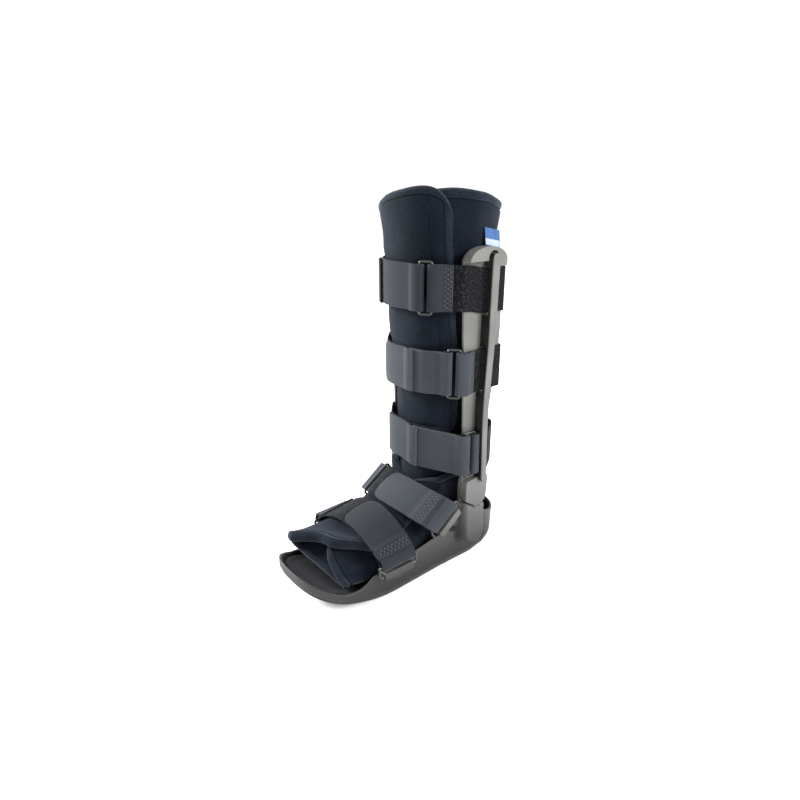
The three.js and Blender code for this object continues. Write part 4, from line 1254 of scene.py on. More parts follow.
@dataclass
class LegWrap:
    """The padded leg wrap: one long panel wound round the leg with a lapped flap."""

    axis_y: float = 64.0
    thickness: float = 7.0
    step: float = 7.4
    power: float = 2.15
    base: float = 118.4
    start: float = -40.0
    binding: float = 9.2
    girth: float = 455.0
    rise: float = 310.0
    corner: float = 30.0
    corner_drop: float = 36.0
    corner_power: float = 2.6
    low_corner: float = 15.0
    low_drop: float = 22.0
    flap_low: float = 170.0
    tuck: float = 27.0
    step_start: float = 3.0
    step_end: float = 30.0
    flap_turn: Pair = (322.0, 350.0)
    tuck_turn: tuple[float, ...] = (-40.0, -24.0, 52.0, 80.0)
    strip_width: float = 14.0
    strip_low: float = 186.0
    strip_high: float = 408.0
    side: Table = table(
        (118, 47), (150, 47), (200, 48), (232, 49.5), (272, 54), (310, 57), (362, 58),
        (390, 58.9), (415, 64), (440, 66.5),
    )
    front: Table = table(
        (118, 47), (150, 43), (200, 41.5), (232, 43), (272, 50), (310, 52.5), (362, 58),
        (390, 60.5), (415, 64), (440, 66.5),
    )
    rear: Table = table(
        (118, 50), (150, 50), (200, 51), (232, 52), (272, 56), (310, 58), (362, 60),
        (390, 61.5), (415, 63), (440, 64.5),
    )
    edge: Table = table(
        (118, 78), (212, 78), (272, 73), (304, 68), (368, 64), (440, 60),
    )
    top: Table = table(
        (-40, 428), (20, 432), (62, 436), (91, 432), (116, 425), (180, 416), (250, 411),
        (300, 410), (328, 420), (367, 434), (392, 438), (440, 438),
    )

    def point(self, angle: float, z: float, level: float) -> np.ndarray:
        """A point on the wrap's outer side, moved out by a level."""
        turn = math.radians(angle)
        side = self.side(z) + level
        c = math.cos(turn)
        share = smooth(c, -0.25, 0.25)
        depth = blend(self.rear(z), self.front(z), share) + level
        x, y = round_power(turn, side, depth, self.power)
        return np.array([x, self.axis_y - y, z])

    def level(self, angle: float, edge: float) -> float:
        """How far the inner lap lies behind the flap."""
        return self.step * (smooth(angle, edge + self.step_start, edge + self.step_end) - 1)

    def height(self, angle: float, end: float, share: float) -> float:
        """Height of a place that is a share of the way from the lower to the upper edge."""
        left = max(end - angle, 0)
        drop = self.corner_drop * self.rounding(left / self.corner)
        low = self.base + smooth(angle, *self.flap_turn) * (self.flap_low - self.base)
        low += self.low_drop * self.rounding(left / self.low_corner)
        low -= self.tuck * window(angle, *self.tuck_turn)
        return blend(low, self.top(angle) - drop, share)

    def rounding(self, share: float) -> float:
        """Share of a rounded corner's drop at a share of its width from the edge."""
        return 1 - math.sqrt(max(1 - max(1 - share, 0) ** self.corner_power, 0))

    def build(self, straps: Sequence["LegStrapSpec"]) -> bpy.types.Object:
        """Builds the wrap with its bound edges, sewn lines and soft bulges."""
        across = edged(self.girth, 2.1, seam=self.binding)
        up = edged(self.rise, 3.0, seam=self.binding)
        rows, columns = len(up), len(across)
        outer = np.zeros((rows, columns, 3))
        relief = np.zeros((rows, columns))
        for i, rise in enumerate(up):
            for j, share in enumerate(across):
                z, angle, edge = 300.0, 0.0, 70.0
                for _ in range(3):  # the height and the angle depend on each other
                    edge = self.edge(z)
                    angle = self.start + share * (360 + edge - self.start)
                    z = self.height(angle, 360 + edge, rise)
                level = self.level(angle, edge) if angle < 180 else 0.0
                outer[i, j] = self.point(angle, z, level)
                relief[i, j] = self.soft(angle, z, straps)
        inwards = edge_depth(*np.meshgrid(across * self.girth, up * self.rise))
        relief -= 1.5 * sunk(inwards, self.binding, 1.0)
        relief += 0.5 * sunk(inwards, self.binding / 2, 2.6)
        wrap = pad("leg_wrap_padding", outer, self.thickness, *lengths(outer), relief)
        bind_edge(dress(wrap, Finish.WRAP, Finish.BINDING, Finish.SEAM), inwards, self.binding)
        return declare(wrap, ["leg_wrap"])

    def soft(self, angle: float, z: float, straps: Sequence["LegStrapSpec"]) -> float:
        """Bulge of the padding between the straps, and slow waves in it."""
        squeeze = 0.0
        for strap in straps:
            half = strap.height / 2
            squeeze = max(squeeze, 1 - smooth(abs(z - strap.z), half - 4, half + 12))
        place = (angle * 1.05, z, 3.0)
        waves = 0.9 * rough(place, 46, 4.0) + 0.4 * rough(place, 17, 9.0)
        return 0.5 - 1.3 * squeeze + waves * (1 - 0.7 * squeeze)

    def strip(self, straps: Sequence["LegStrapSpec"]) -> bpy.types.Object:
        """Builds the sewn strip along the flap, with a sunk line round it."""
        width, low, high = self.strip_width, self.strip_low, self.strip_high
        shares, rises = edged(width, 1.6, 0.9), edged(high - low, 2.5, 0.9)
        outer = np.zeros((len(rises), len(shares), 3))
        for i, rise in enumerate(rises):
            z = blend(low, high, rise)
            for j, share in enumerate(shares):
                angle = self.edge(z) - 22 + 13 * share
                outer[i, j] = self.point(angle, z, self.soft(angle + 360, z, straps) + 0.8)
        run, climb = np.meshgrid(shares * width, rises * (high - low))
        relief = -0.35 * sunk(edge_depth(run, climb), 1.6, 0.5)
        strip = pad("leg_strip_cloth", outer, 1.6, run, climb, relief)
        return declare(dress(strip, Finish.STRIP), ["leg_strip"])


@dataclass
class FootWrap:
    """The padded foot wrap: a trough whose two sides lap over the instep."""

    thickness: float = 7.0
    step: float = 7.4
    front_y: float = -122.0
    back_y: float = 133.0
    ankle_back: float = 115.0
    top_z: float = 118.0
    heel_start: float = 85.0
    rest: float = 0.8
    toe_roll: float = 8.0
    roll_width: float = 13.0
    tape_half: float = 9.0
    tape_low: float = 30.0
    tape_high: float = 113.0
    slump: float = 23.0
    slump_y: float = -84.0
    slump_width: float = 16.5
    slump_turn: tuple[float, ...] = (145.0, 188.0, 225.0, 270.0)
    step_turn: Pair = (64.0, 92.0)
    lean_turn: Pair = (88.0, 132.0)
    lean_run: Pair = (60.0, 118.0)
    open_run: Pair = (10.0, 34.0)
    lap: Pair = (-22.0, 420.0)
    binding: float = 8.8
    girth: float = 370.0
    reach: float = 255.0
    half: Table = table(
        (-122, 50.5), (-100, 51), (-70, 51), (-40, 50.5), (-20, 49.5), (0, 48), (17, 46.5),
        (40, 45), (90, 43.5),
    )
    top: Table = table(
        (-122, 63), (-100, 65), (-70, 68), (-40, 75), (-20, 86), (0, 97), (17, 106), (40, 114), (90, 118),
    )
    power: Table = table(
        (-122, 3.2), (-100, 3.2), (-70, 2.9), (-40, 2.5), (-20, 2.3), (17, 2.3), (40, 2.4), (90, 2.6),
    )
    mouth: Table = table(
        (-22, -86), (8, -97), (36, -103), (78, -105), (120, -103.5), (180, -105), (240, -109),
        (275, -115), (300, -120), (316, -120), (335, -113), (360, -98), (385, -78), (420, -60),
    )

    def back(self, z: float) -> float:
        """Rear end of the wrap at a height."""
        return blend(self.back_y, self.ankle_back, smooth(z, 55, self.top_z))

    def width(self, y: float, z: float) -> float:
        """Half width at a place."""
        half = self.half(y)
        if y <= self.heel_start:
            return half
        t = min((y - self.heel_start) / (self.back(z) - self.heel_start), 1)
        return max(half * (1 - t**FOOT.heel_power) ** (1 / FOOT.heel_power), 0.4)

    def point(self, angle: float, y: float, level: float) -> np.ndarray:
        """A point on the closed part's outer side, moved out by a level."""
        low = FOOT.insole_top(y) + self.rest
        high = self.top(y)
        middle = (low + high) / 2
        lift = (high - low) / 2
        x, z = round_power(math.radians(angle), self.width(y, middle) + level, lift + level, self.power(y))
        return np.array([x, y, middle + z])

    def arm(self, share: float, y: float) -> np.ndarray:
        """A point on the open rear part, a trough with two high sides."""
        low = FOOT.insole_top(y) + self.rest
        drop = min(max((y - self.ankle_back) / (self.back_y - self.ankle_back), 0), 1)
        high = blend(self.top_z, 58, drop**1.3)
        side = -math.copysign(1, share - 0.5)
        reach = abs(share - 0.5) * 2
        corner = 0.42
        if reach < corner:
            x, z = round_power(reach / corner * math.pi / 2, self.width(y, low + 20), 22, 2.6)
            return np.array([side * x, y, low + 22 - z])
        z = blend(low + 22, high, (reach - corner) / (1 - corner))
        return np.array([side * self.width(y, z), y, z])

    def toe_panel(self, angle: float, y: float) -> np.ndarray:
        """A point on the near side panel, which leans in under the top flap."""
        turn = min(angle / 105, 1)
        return np.array([46 * turn, y, blend(57, 33, max(turn, 0))])

    def place(self, share: float, y: float) -> np.ndarray:
        """A point of the whole wrap's outer side."""
        angle = blend(self.lap[0], self.lap[1], share)
        start = self.open_run[0]
        forward = min(max((start - y) / (start - self.front_y), 0), 1)
        inner = self.step * (smooth(angle, *self.step_turn) - 1) if angle < 180 else 0.0
        moved = y + (self.mouth(angle) - self.front_y) * forward
        point = self.point(angle, moved, inner)
        lean = smooth(-y, *self.lean_run) * (1 - smooth(angle, *self.lean_turn))
        point = point + (self.toe_panel(angle, moved) - point) * lean
        sag = self.slump * window(angle, *self.slump_turn)
        point[2] += sag * bump(moved - self.slump_y, self.slump_width)
        opening = smooth(y, *self.open_run)
        if opening > 0:
            point = point + (self.arm(share, y) - point) * opening
        return point

    def build(self) -> bpy.types.Object:
        """Builds the wrap with its bound edges and soft folds."""
        across = edged(self.girth, 2.2, seam=self.binding)
        along = edged(self.reach, 2.6, seam=self.binding)
        ys = self.front_y + along * (self.back_y - self.front_y)
        outer = np.array([[self.place(share, float(y)) for share in across] for y in ys])
        run, climb = lengths(outer)
        waves = [[0.8 * rough(p, 30, 2.0) + 0.4 * rough(p, 11, 5.0) for p in row] for row in outer]
        inwards = edge_depth(*np.meshgrid(across * self.girth, along * self.reach))
        relief = np.array(waves) - 1.4 * sunk(inwards, self.binding, 1.0)
        relief += 0.6 * sunk(inwards, self.binding / 2, 2.4)
        over = np.array([smooth(blend(*self.lap, share), 200, 300) for share in across])
        thick = self.thickness + self.toe_roll * over * sunk(climb, 0, self.roll_width)
        wrap = pad("foot_wrap_padding", outer, thick, run, climb, relief)
        bind_edge(dress(wrap, Finish.WRAP, Finish.BINDING, Finish.SEAM), inwards, self.binding)
        return declare(wrap, ["foot_wrap"])

    def heel_tape(self) -> bpy.types.Object:
        """Builds the tape that is sewn over the heel seam."""
        half, low, high = self.tape_half, self.tape_low, self.tape_high
        shares, rises = edged(2 * half, 1.5, 1.0), edged(high - low, 2.5, 1.0)
        outer = np.zeros((len(rises), len(shares), 3))
        power = FOOT.heel_power
        for i, rise in enumerate(rises):
            z = blend(low, high, rise)
            for j, share in enumerate(shares):
                x = half * (2 * share - 1)
                reach = (1 - abs(x / self.half(90)) ** power) ** (1 / power)
                outer[i, j] = (x, blend(self.heel_start, self.back(z), reach) + 1.6, z)
        run, climb = np.meshgrid(shares * 2 * half, rises * (high - low))
        relief = -0.4 * sunk(edge_depth(run, climb), 2.2, 0.6)
        tape = pad("foot_wrap_heel_tape", outer, 3.0, run, climb, relief)
        return declare(dress(tape, Finish.BINDING))

    def strip(self) -> bpy.types.Object:
        """Builds the sewn strip near the edge of the top flap."""
        angles, ys = np.linspace(43, 58, 12), np.linspace(-33, -16, 12)
        outer = np.array([[self.point(angle, float(y), 0.8) for angle in angles] for y in ys])
        run, climb = np.meshgrid(np.linspace(0, 10, 12), np.linspace(0, 17, 12))
        strip = pad("foot_strip_cloth", outer, 0.6, run, climb)
        return declare(dress(strip, Finish.STRIP), ["foot_strip"])


# Straps


def convex_outline(points: Sequence[Pair]) -> list[Pair]:
    """Convex outline round points of a plane."""
    ordered = sorted(set((round(x, 6), round(y, 6)) for x, y in points))

    def chain(items: Sequence[Pair]) -> list[Pair]:
        """One side of the outline."""
        out: list[Pair] = []
        for p in items:
            while len(out) > 1:
                (ox, oy), (ax, ay) = out[-2], out[-1]
                if (ax - ox) * (p[1] - oy) - (ay - oy) * (p[0] - ox) > 0:
                    break
                out.pop()
            out.append(p)
        return out[:-1]

    return chain(ordered) + chain(ordered[::-1])


class Track:
    """A line in a plane, with places on it by length along and level above."""

    def __init__(self, outline: Sequence[Pair], centre: float, start: float, end: float) -> None:
        """Follows an outline between two angles.

        Args:
            outline: points as distances from the centre.
            centre: the centre's second coordinate.
            start: the first angle, in degrees.
            end: the last angle, in degrees.
        """
        corners = np.array(outline)
        nexts = np.roll(corners, -1, axis=0)
        normal = np.stack([nexts[:, 1] - corners[:, 1], corners[:, 0] - nexts[:, 0]], axis=1)
        offset = np.sum(normal * corners, axis=1)
        self.angles = np.arange(start, end + 0.25, 0.5)
        turn = np.radians(self.angles)
        ways = np.stack([np.sin(turn), -np.cos(turn)], axis=1)
        facing = ways @ normal.T
        with np.errstate(divide="ignore", invalid="ignore"):
            radius = np.where(facing > 1e-9, offset / facing, np.inf).min(axis=1)
        self.x = radius * np.sin(turn)
        self.y = centre - radius * np.cos(turn)
        for _ in range(3):
            self.x[1:-1] = (self.x[:-2] + 2 * self.x[1:-1] + self.x[2:]) / 4
            self.y[1:-1] = (self.y[:-2] + 2 * self.y[1:-1] + self.y[2:]) / 4
        self.length = np.concatenate([[0], np.cumsum(np.hypot(np.diff(self.x), np.diff(self.y)))])

    def length_at(self, angle: float) -> float:
        """Length along at an angle."""
        return float(np.interp(angle, self.angles, self.length))

    def follow(self, route: Sequence[Pair]) -> np.ndarray:
        """The places of a route that is given as lengths along and levels."""
        return np.array([self.at(length, level) for length, level in route])

    def at(self, length: float, level: float = 0.0) -> np.ndarray:
        """The place at a length along, moved out by a level."""
        reach = 1.5
        x = [float(np.interp(length + d, self.length, self.x)) for d in (-reach, 0, reach)]
        y = [float(np.interp(length + d, self.length, self.y)) for d in (-reach, 0, reach)]
        dx, dy = x[2] - x[0], y[2] - y[0]
        size = math.hypot(dx, dy)
        return np.array([x[1] + level * dy / size, y[1] - level * dx / size])


Spot = Callable[[np.ndarray, float], np.ndarray]


@dataclass
class Band:
    """A strap of even width along a route of a plane."""

    centre: np.ndarray
    thickness: float
    half: float
    spot: Spot
    round_end: float = 0.0

    def __post_init__(self) -> None:
        """Works out the band's directions and lengths."""
        steps = np.linalg.norm(np.diff(self.centre, axis=0), axis=1)
        keep = np.concatenate([[True], steps > 0.02])
        self.centre = self.centre[keep]
        ahead = np.gradient(self.centre, axis=0)
        ahead /= np.linalg.norm(ahead, axis=1, keepdims=True)
        self.normal = np.stack([ahead[:, 1], -ahead[:, 0]], axis=1)
        gaps = np.linalg.norm(np.diff(self.centre, axis=0), axis=1)
        self.run = np.concatenate([[0], np.cumsum(gaps)])

    def point(self, run: float, up: float, level: float) -> np.ndarray:
        """A point of the strap at a length along, across and out."""
        c = np.array([np.interp(run, self.run, self.centre[:, k]) for k in (0, 1)])
        n = np.array([np.interp(run, self.run, self.normal[:, k]) for k in (0, 1)])
        return self.spot(c + n / np.linalg.norm(n) * level, up)

    def outward(self, run: float, up: float, side: int) -> np.ndarray:
        """Unit direction away from one of the strap's faces."""
        way = self.point(run, up, side) - self.point(run, up, 0.0)
        return way / np.linalg.norm(way)

    def mesh(self, name: str, zones: Sequence[tuple[float, float, int]] = ()) -> bpy.types.Object:
        """Builds the band with soft edges.

        Args:
            name: the object's name.
            zones: start, end and material number of each stretch.

        Returns:
            The new object.
        """
        t = self.thickness / 2
        profile = [(-1.0, 0.0, 0.0), (-1.0, 0.12, 0.62), (-1.0, 0.5, 0.94), (-1.0, 1.2, 1.0)]
        profile += [(0.0, s, 1.0) for s in (-0.72, -0.4, 0.0, 0.4, 0.72)]
        profile += [(1.0, 1.2, 1.0), (1.0, 0.5, 0.94), (1.0, 0.12, 0.62), (1.0, 0.0, 0.0)]
        back = [(e, s, -n) for e, s, n in profile[1:-1]][::-1]
        whole = profile + back
        size = len(whole)
        points, uv = [], []
        total = self.run[-1]
        for i, run in enumerate(self.run):
            shrink = 1.0
            left = total - run
            if self.round_end and left < self.round_end:
                near = 1 - left / self.round_end
                shrink = 1 - self.round_end * (1 - math.sqrt(max(1 - near**2, 0))) / self.half
            for end, s, n in whole:
                up = (end * (self.half - s) if end else s * self.half) * shrink
                points.append(self.spot(self.centre[i] + self.normal[i] * n * t, up))
                uv.append((run, up))
        faces = grid_faces(len(self.run), size, 0, True)
        faces.append(list(range(size))[::-1])
        faces.append([(len(self.run) - 1) * size + k for k in range(size)])
        thing = faced_out(make_object(name, np.array(points), faces, np.array(uv)))
        for face in thing.data.polygons:
            i = min(v // size for v in face.vertices)
            for start, end, number in zones:
                if start <= self.run[i] < end:
                    face.material_index = number
        return thing

    def seam(self, name: str, run: float, pitch: float = 2.6) -> bpy.types.Object:
        """A straight line of stitches across the strap, on the face of its returning laps.

        Args:
            name: the object's name.
            run: the line's length along.
            pitch: one stitch and its gap.

        Returns:
            One object of threads.
        """
        out = []
        level = -self.thickness / 2
        for up in np.arange(-self.half + 1.6, self.half - 3.4, pitch):
            a, b = self.point(run, up, level), self.point(run, up + pitch * 0.72, level)
            out.append((a, b, self.outward(run, up, -1)))
        return threads(name, out, SEAM_THREAD)

    def zigzag(self, name: str, start: float, end: float, teeth: int) -> bpy.types.Object:
        """Crossed zigzag lines of stitches, on the face of the returning laps.

        Args:
            name: the object's name.
            start: the length at which the lines start.
            end: the length at which they end.
            teeth: the number of turns across the strap.

        Returns:
            One object of threads.
        """
        level = -self.thickness / 2
        ups = np.linspace(-self.half + 2.2, self.half - 2.2, teeth + 1)
        out = []
        for flip in (0, 1):
            for k in range(teeth):
                runs = (start, end) if (k + flip) % 2 else (end, start)
                for a, b in ((0.02, 0.3), (0.36, 0.64), (0.7, 0.98)):
                    p = self.point(blend(runs[0], runs[1], a), blend(ups[k], ups[k + 1], a), level)
                    q = self.point(blend(runs[0], runs[1], b), blend(ups[k], ups[k + 1], b), level)
                    out.append((p, q, self.outward(runs[0], ups[k], -1)))
        return threads(name, out, CROSS_THREAD)


STRAP = 2.2
TAB = 2.0
WIRE = 3.0
FOLD = 3.6
GAP = 0.3
SEAM_WIDTH = 7.0
SEWN_LAP = 21.0
FOOT_SEAM_WIDTH = 10.5
SEAM_THREAD = 0.3
CROSS_THREAD = 0.34


def fold(sense: int, at: float) -> list[Pair]:
    """Route round a ring's bar, from below it to above it."""
    return [
        (at + sense * FOLD * math.cos(t), FOLD + FOLD * math.sin(t))
        for t in np.radians(np.linspace(-90, 90, 15))
    ]


def folded_route(start: float, end: float, start_lap: float, end_lap: float) -> list[Pair]:
    """Route of a strap folded over a bar at both ends.

    Args:
        start: the first bar's length along.
        end: the last bar's length along.
        start_lap: the length of the first sewn lap.
        end_lap: the length of the last sewn lap.

    Returns:
        Pairs of length along and level.
    """
    lap = STRAP + GAP
    return [
        *[(s, lap) for s in np.arange(start + start_lap, start + 12, -1.5)],
        (start + 10, lap + 0.4), (start + 7.5, lap + 1.5), (start + 5, 2 * FOLD - 1.4),
        *fold(-1, start)[::-1],
        *[(s, 0.0) for s in np.arange(start + 3, end - 2, 1.6)],
        *fold(1, end),
        (end - 5, 2 * FOLD - 1.4), (end - 7.5, lap + 1.5), (end - 10, lap + 0.4),
        *[(s, lap) for s in np.arange(end - 12, end - end_lap, -1.6)],
    ]


def tab_route(start: float, step: float, end: float) -> list[Pair]:
    """Route of a hook tab that is sewn on a folded end and lies on the strap."""
    low = (STRAP + TAB) / 2 + GAP + 0.1
    high = low + STRAP + GAP
    flat = start - step - 9
    return [
        *[(s, high) for s in np.linspace(start, start - step, 5)],
        (start - step - 1.2, high - 0.1), (start - step - 3, (low + high) / 2 + 0.4),
        (start - step - 5, low + 0.5), (start - step - 7, low + 0.05),
        *[(s, low) for s in np.linspace(flat, end, max(int((flat - end) / 1.6), 4))],
    ]


def ring_path(bars: float, length: float) -> np.ndarray:
    """Centre line of a ring in its own plane: bars along the second axis."""
    a, b, r = bars / 2, length / 2 - WIRE / 2, 2.6
    out = []
    for begin, (x, y) in zip((0, 90, 180, 270), ((1, 1), (-1, 1), (-1, -1), (1, -1))):
        for t in np.radians(np.linspace(begin, begin + 90, 8)):
            out.append((x * (a - r) + r * math.cos(t), y * (b - r) + r * math.sin(t)))
    return np.array(out)


@dataclass(frozen=True)
class LegStrapSpec:
    """Places of one leg strap; angles are degrees round the leg from its front."""

    name: str
    z: float
    ring: float
    seam: float
    tab: float
    slack: float
    dark: bool = False
    tilt: tuple[Pair, ...] = ()
    lap: float = SEWN_LAP
    back_slack: float = 0.0
    height: float = 48.0
    bars: float = 13.0
    ring_height: float = 57.0

    def rise(self, angle: float) -> float:
        """How much higher the strap's middle is at an angle."""
        if not self.tilt:
            return 0.0
        return Table(self.tilt)((angle + 180) % 360 - 180)


@dataclass(frozen=True)
class FootStrapSpec:
    """Places of one foot strap; the track's plane leans back."""

    name: str
    y: float
    z: float
    lean: float
    ring_slope: float
    top_slope: float
    crown: float
    width: float
    ring_x: float
    tab: float
    seam: float
    dark: bool = False
    bars: float = 12.0
    extra: float = 8.0


LEG_STRAPS = (
    LegStrapSpec("calf_top", 338.5, 37, -22, -44, 0, True, (
        (-180, -7), (-100, -4), (-40, 0), (45, 0), (76, -1.5), (100, -6), (180, -7),
    )),
    LegStrapSpec("calf_mid", 246, 66, 22, -36, 2, lap=15),
    LegStrapSpec("ankle", 150, 83, 25, -42, 3, False, (
        (-180, 2), (-90, 3), (-40, 7), (-11, 8), (25, 4), (65, 1.5), (100, -2), (150, -5), (180, -2),
    ), 15, 14.5),
)
FOOT_STRAPS = (
    FootStrapSpec("instep", 21.5, 80, 51, 38, 29, 34, 42, 64.6, -24, 14),
    FootStrapSpec("toe", -46, 51, 4, 2, 13, 28, 45, 65.6, -14, 7, True),
)


def finish_strap(
    strap: LegStrapSpec | FootStrapSpec,
    band: bpy.types.Object,
    tab: bpy.types.Object,
    tab_finish: Finish,
    sewing: Sequence[bpy.types.Object],
) -> None:
    """Args:
        strap: the strap's places.
        band: the strap's mesh.
        tab: the tab's mesh.
        tab_finish: the tab's cloth.
        sewing: the threads on both.
    """
    face = Finish.DARK_STRAP if strap.dark else Finish.STRAP
    declare(dress(band, face, Finish.LOOP), [f"{strap.name}_strap"])
    declare(dress(tab, tab_finish), [f"{strap.name}_tab"])
    declare(dress(join(f"{strap.name}_stitches", sewing), Finish.PALE_THREAD))


@dataclass
class LegStraps:
    """The three straps round the leg with their tabs and rings."""

    wrap: LegWrap
    struts: Struts
    lift: float = 0.6
    strip_top: float = 1.8
    straight: float = 12.0
    slack_angle: float = 318.0
    back_angle: float = 130.0

    def outline(self, strap: LegStrapSpec) -> list[Pair]:
        """The taut line round the wrap and the struts."""
        lift = self.lift + STRAP / 2
        points = []
        for z in (strap.z - strap.height / 2, strap.z, strap.z + strap.height / 2):
            strip = self.strip_top if z > self.wrap.strip_low else 0.0
            for angle in np.linspace(0, 358, 120):
                over = strip if 30 < angle < 66 else 0.0
                loose = 1 - smooth(abs(angle - self.slack_angle), 5, 45)
                behind = 1 - smooth(abs(angle - self.back_angle), 8, 42)
                level = lift + over + strap.slack * loose + strap.back_slack * behind
                x, y, _ = self.wrap.point(angle, z, level)
                points.append((x, y - self.wrap.axis_y))
            out = self.struts.plate_out
            front = self.struts.front(z) - self.wrap.axis_y
            rear = self.struts.rear(z) - self.wrap.axis_y
            for side in (-1, 1):
                points += [(side * (out + lift), front), (side * (out + lift), rear)]
                points += [(side * out, front - lift), (side * out, rear + lift)]
        line = convex_outline(points)
        track = Track(line, 0, strap.ring - 20, strap.ring + 20)
        spots = [track.at(track.length_at(strap.ring + d), GAP) for d in (-5, 0, 5)]
        way = (spots[2] - spots[0]) / np.linalg.norm(spots[2] - spots[0])
        for side in (-1, 1):
            points.append(tuple(spots[1] + side * self.straight * way))
        return convex_outline(points)

    def build_one(self, strap: LegStrapSpec) -> None:
        """Builds one strap with its tab, stitches and ring."""
        track = Track(self.outline(strap), self.wrap.axis_y, strap.ring - 40, strap.ring + 400)
        start = track.length_at(strap.ring) + strap.bars / 2
        middle = track.length_at(strap.ring + 360)
        end = middle - strap.bars / 2
        seam = end - track.length_at(strap.seam + 360)

        def spot(p: np.ndarray, up: float) -> np.ndarray:
            """A point of the strap's plane, moved up."""
            angle = math.degrees(math.atan2(p[0], self.wrap.axis_y - p[1]))
            return np.array([p[0], p[1], strap.z + strap.rise(angle) + up])

        route = folded_route(start, end, strap.lap, seam + SEAM_WIDTH)
        band = Band(track.follow(route), STRAP, strap.height / 2, spot)
        bend = math.pi * FOLD
        zones = [(2 * strap.lap + bend - 3, band.run[-1] - seam - SEAM_WIDTH - bend - 8, 1)]
        cloth = band.mesh(f"{strap.name}_strap_cloth", zones)
        tab_line = tab_route(end - seam, SEAM_WIDTH, track.length_at(strap.tab + 360))
        tab = Band(track.follow(tab_line), TAB, strap.height / 2, spot, 9.0)
        sewing = [
            band.zigzag("lap_stitches", 1.6, 9.4, 9),
            band.seam("lap_seam", 0.8),
            tab.zigzag("tab_stitches", 1.4, SEAM_WIDTH - 0.4, 10),
            tab.seam("tab_seam", 0.7),
        ]
        tab_finish = Finish.LOOP if strap.dark else Finish.TAB
        finish_strap(strap, cloth, tab.mesh(f"{strap.name}_tab_cloth"), tab_finish, sewing)
        self.ring(strap, track, middle, spot)

    def ring(self, strap: LegStrapSpec, track: Track, middle: float, spot: Spot) -> None:
        """Builds the wire ring that stands in the two folds.

        Args:
            strap: the strap's places.
            track: the strap's line.
            middle: the ring's length along the line.
            spot: turns a place of the strap's plane and a rise into a point.
        """
        centre = track.at(middle, FOLD)
        out = track.at(middle, FOLD + 1) - centre
        across = np.array([-out[1], out[0]])
        base = spot(centre, 0.0)
        flat = ring_path(strap.bars, strap.ring_height)
        path = np.array([[base[0] + a * across[0], base[1] + a * across[1], base[2] + b] for a, b in flat])
        ring = dress(tube(f"{strap.name}_ring_wire", path, WIRE / 2), Finish.WIRE)
        declare(ring, [f"{strap.name}_ring"])

    def build(self) -> None:
        """Builds the three straps."""
        for strap in LEG_STRAPS:
            self.build_one(strap)


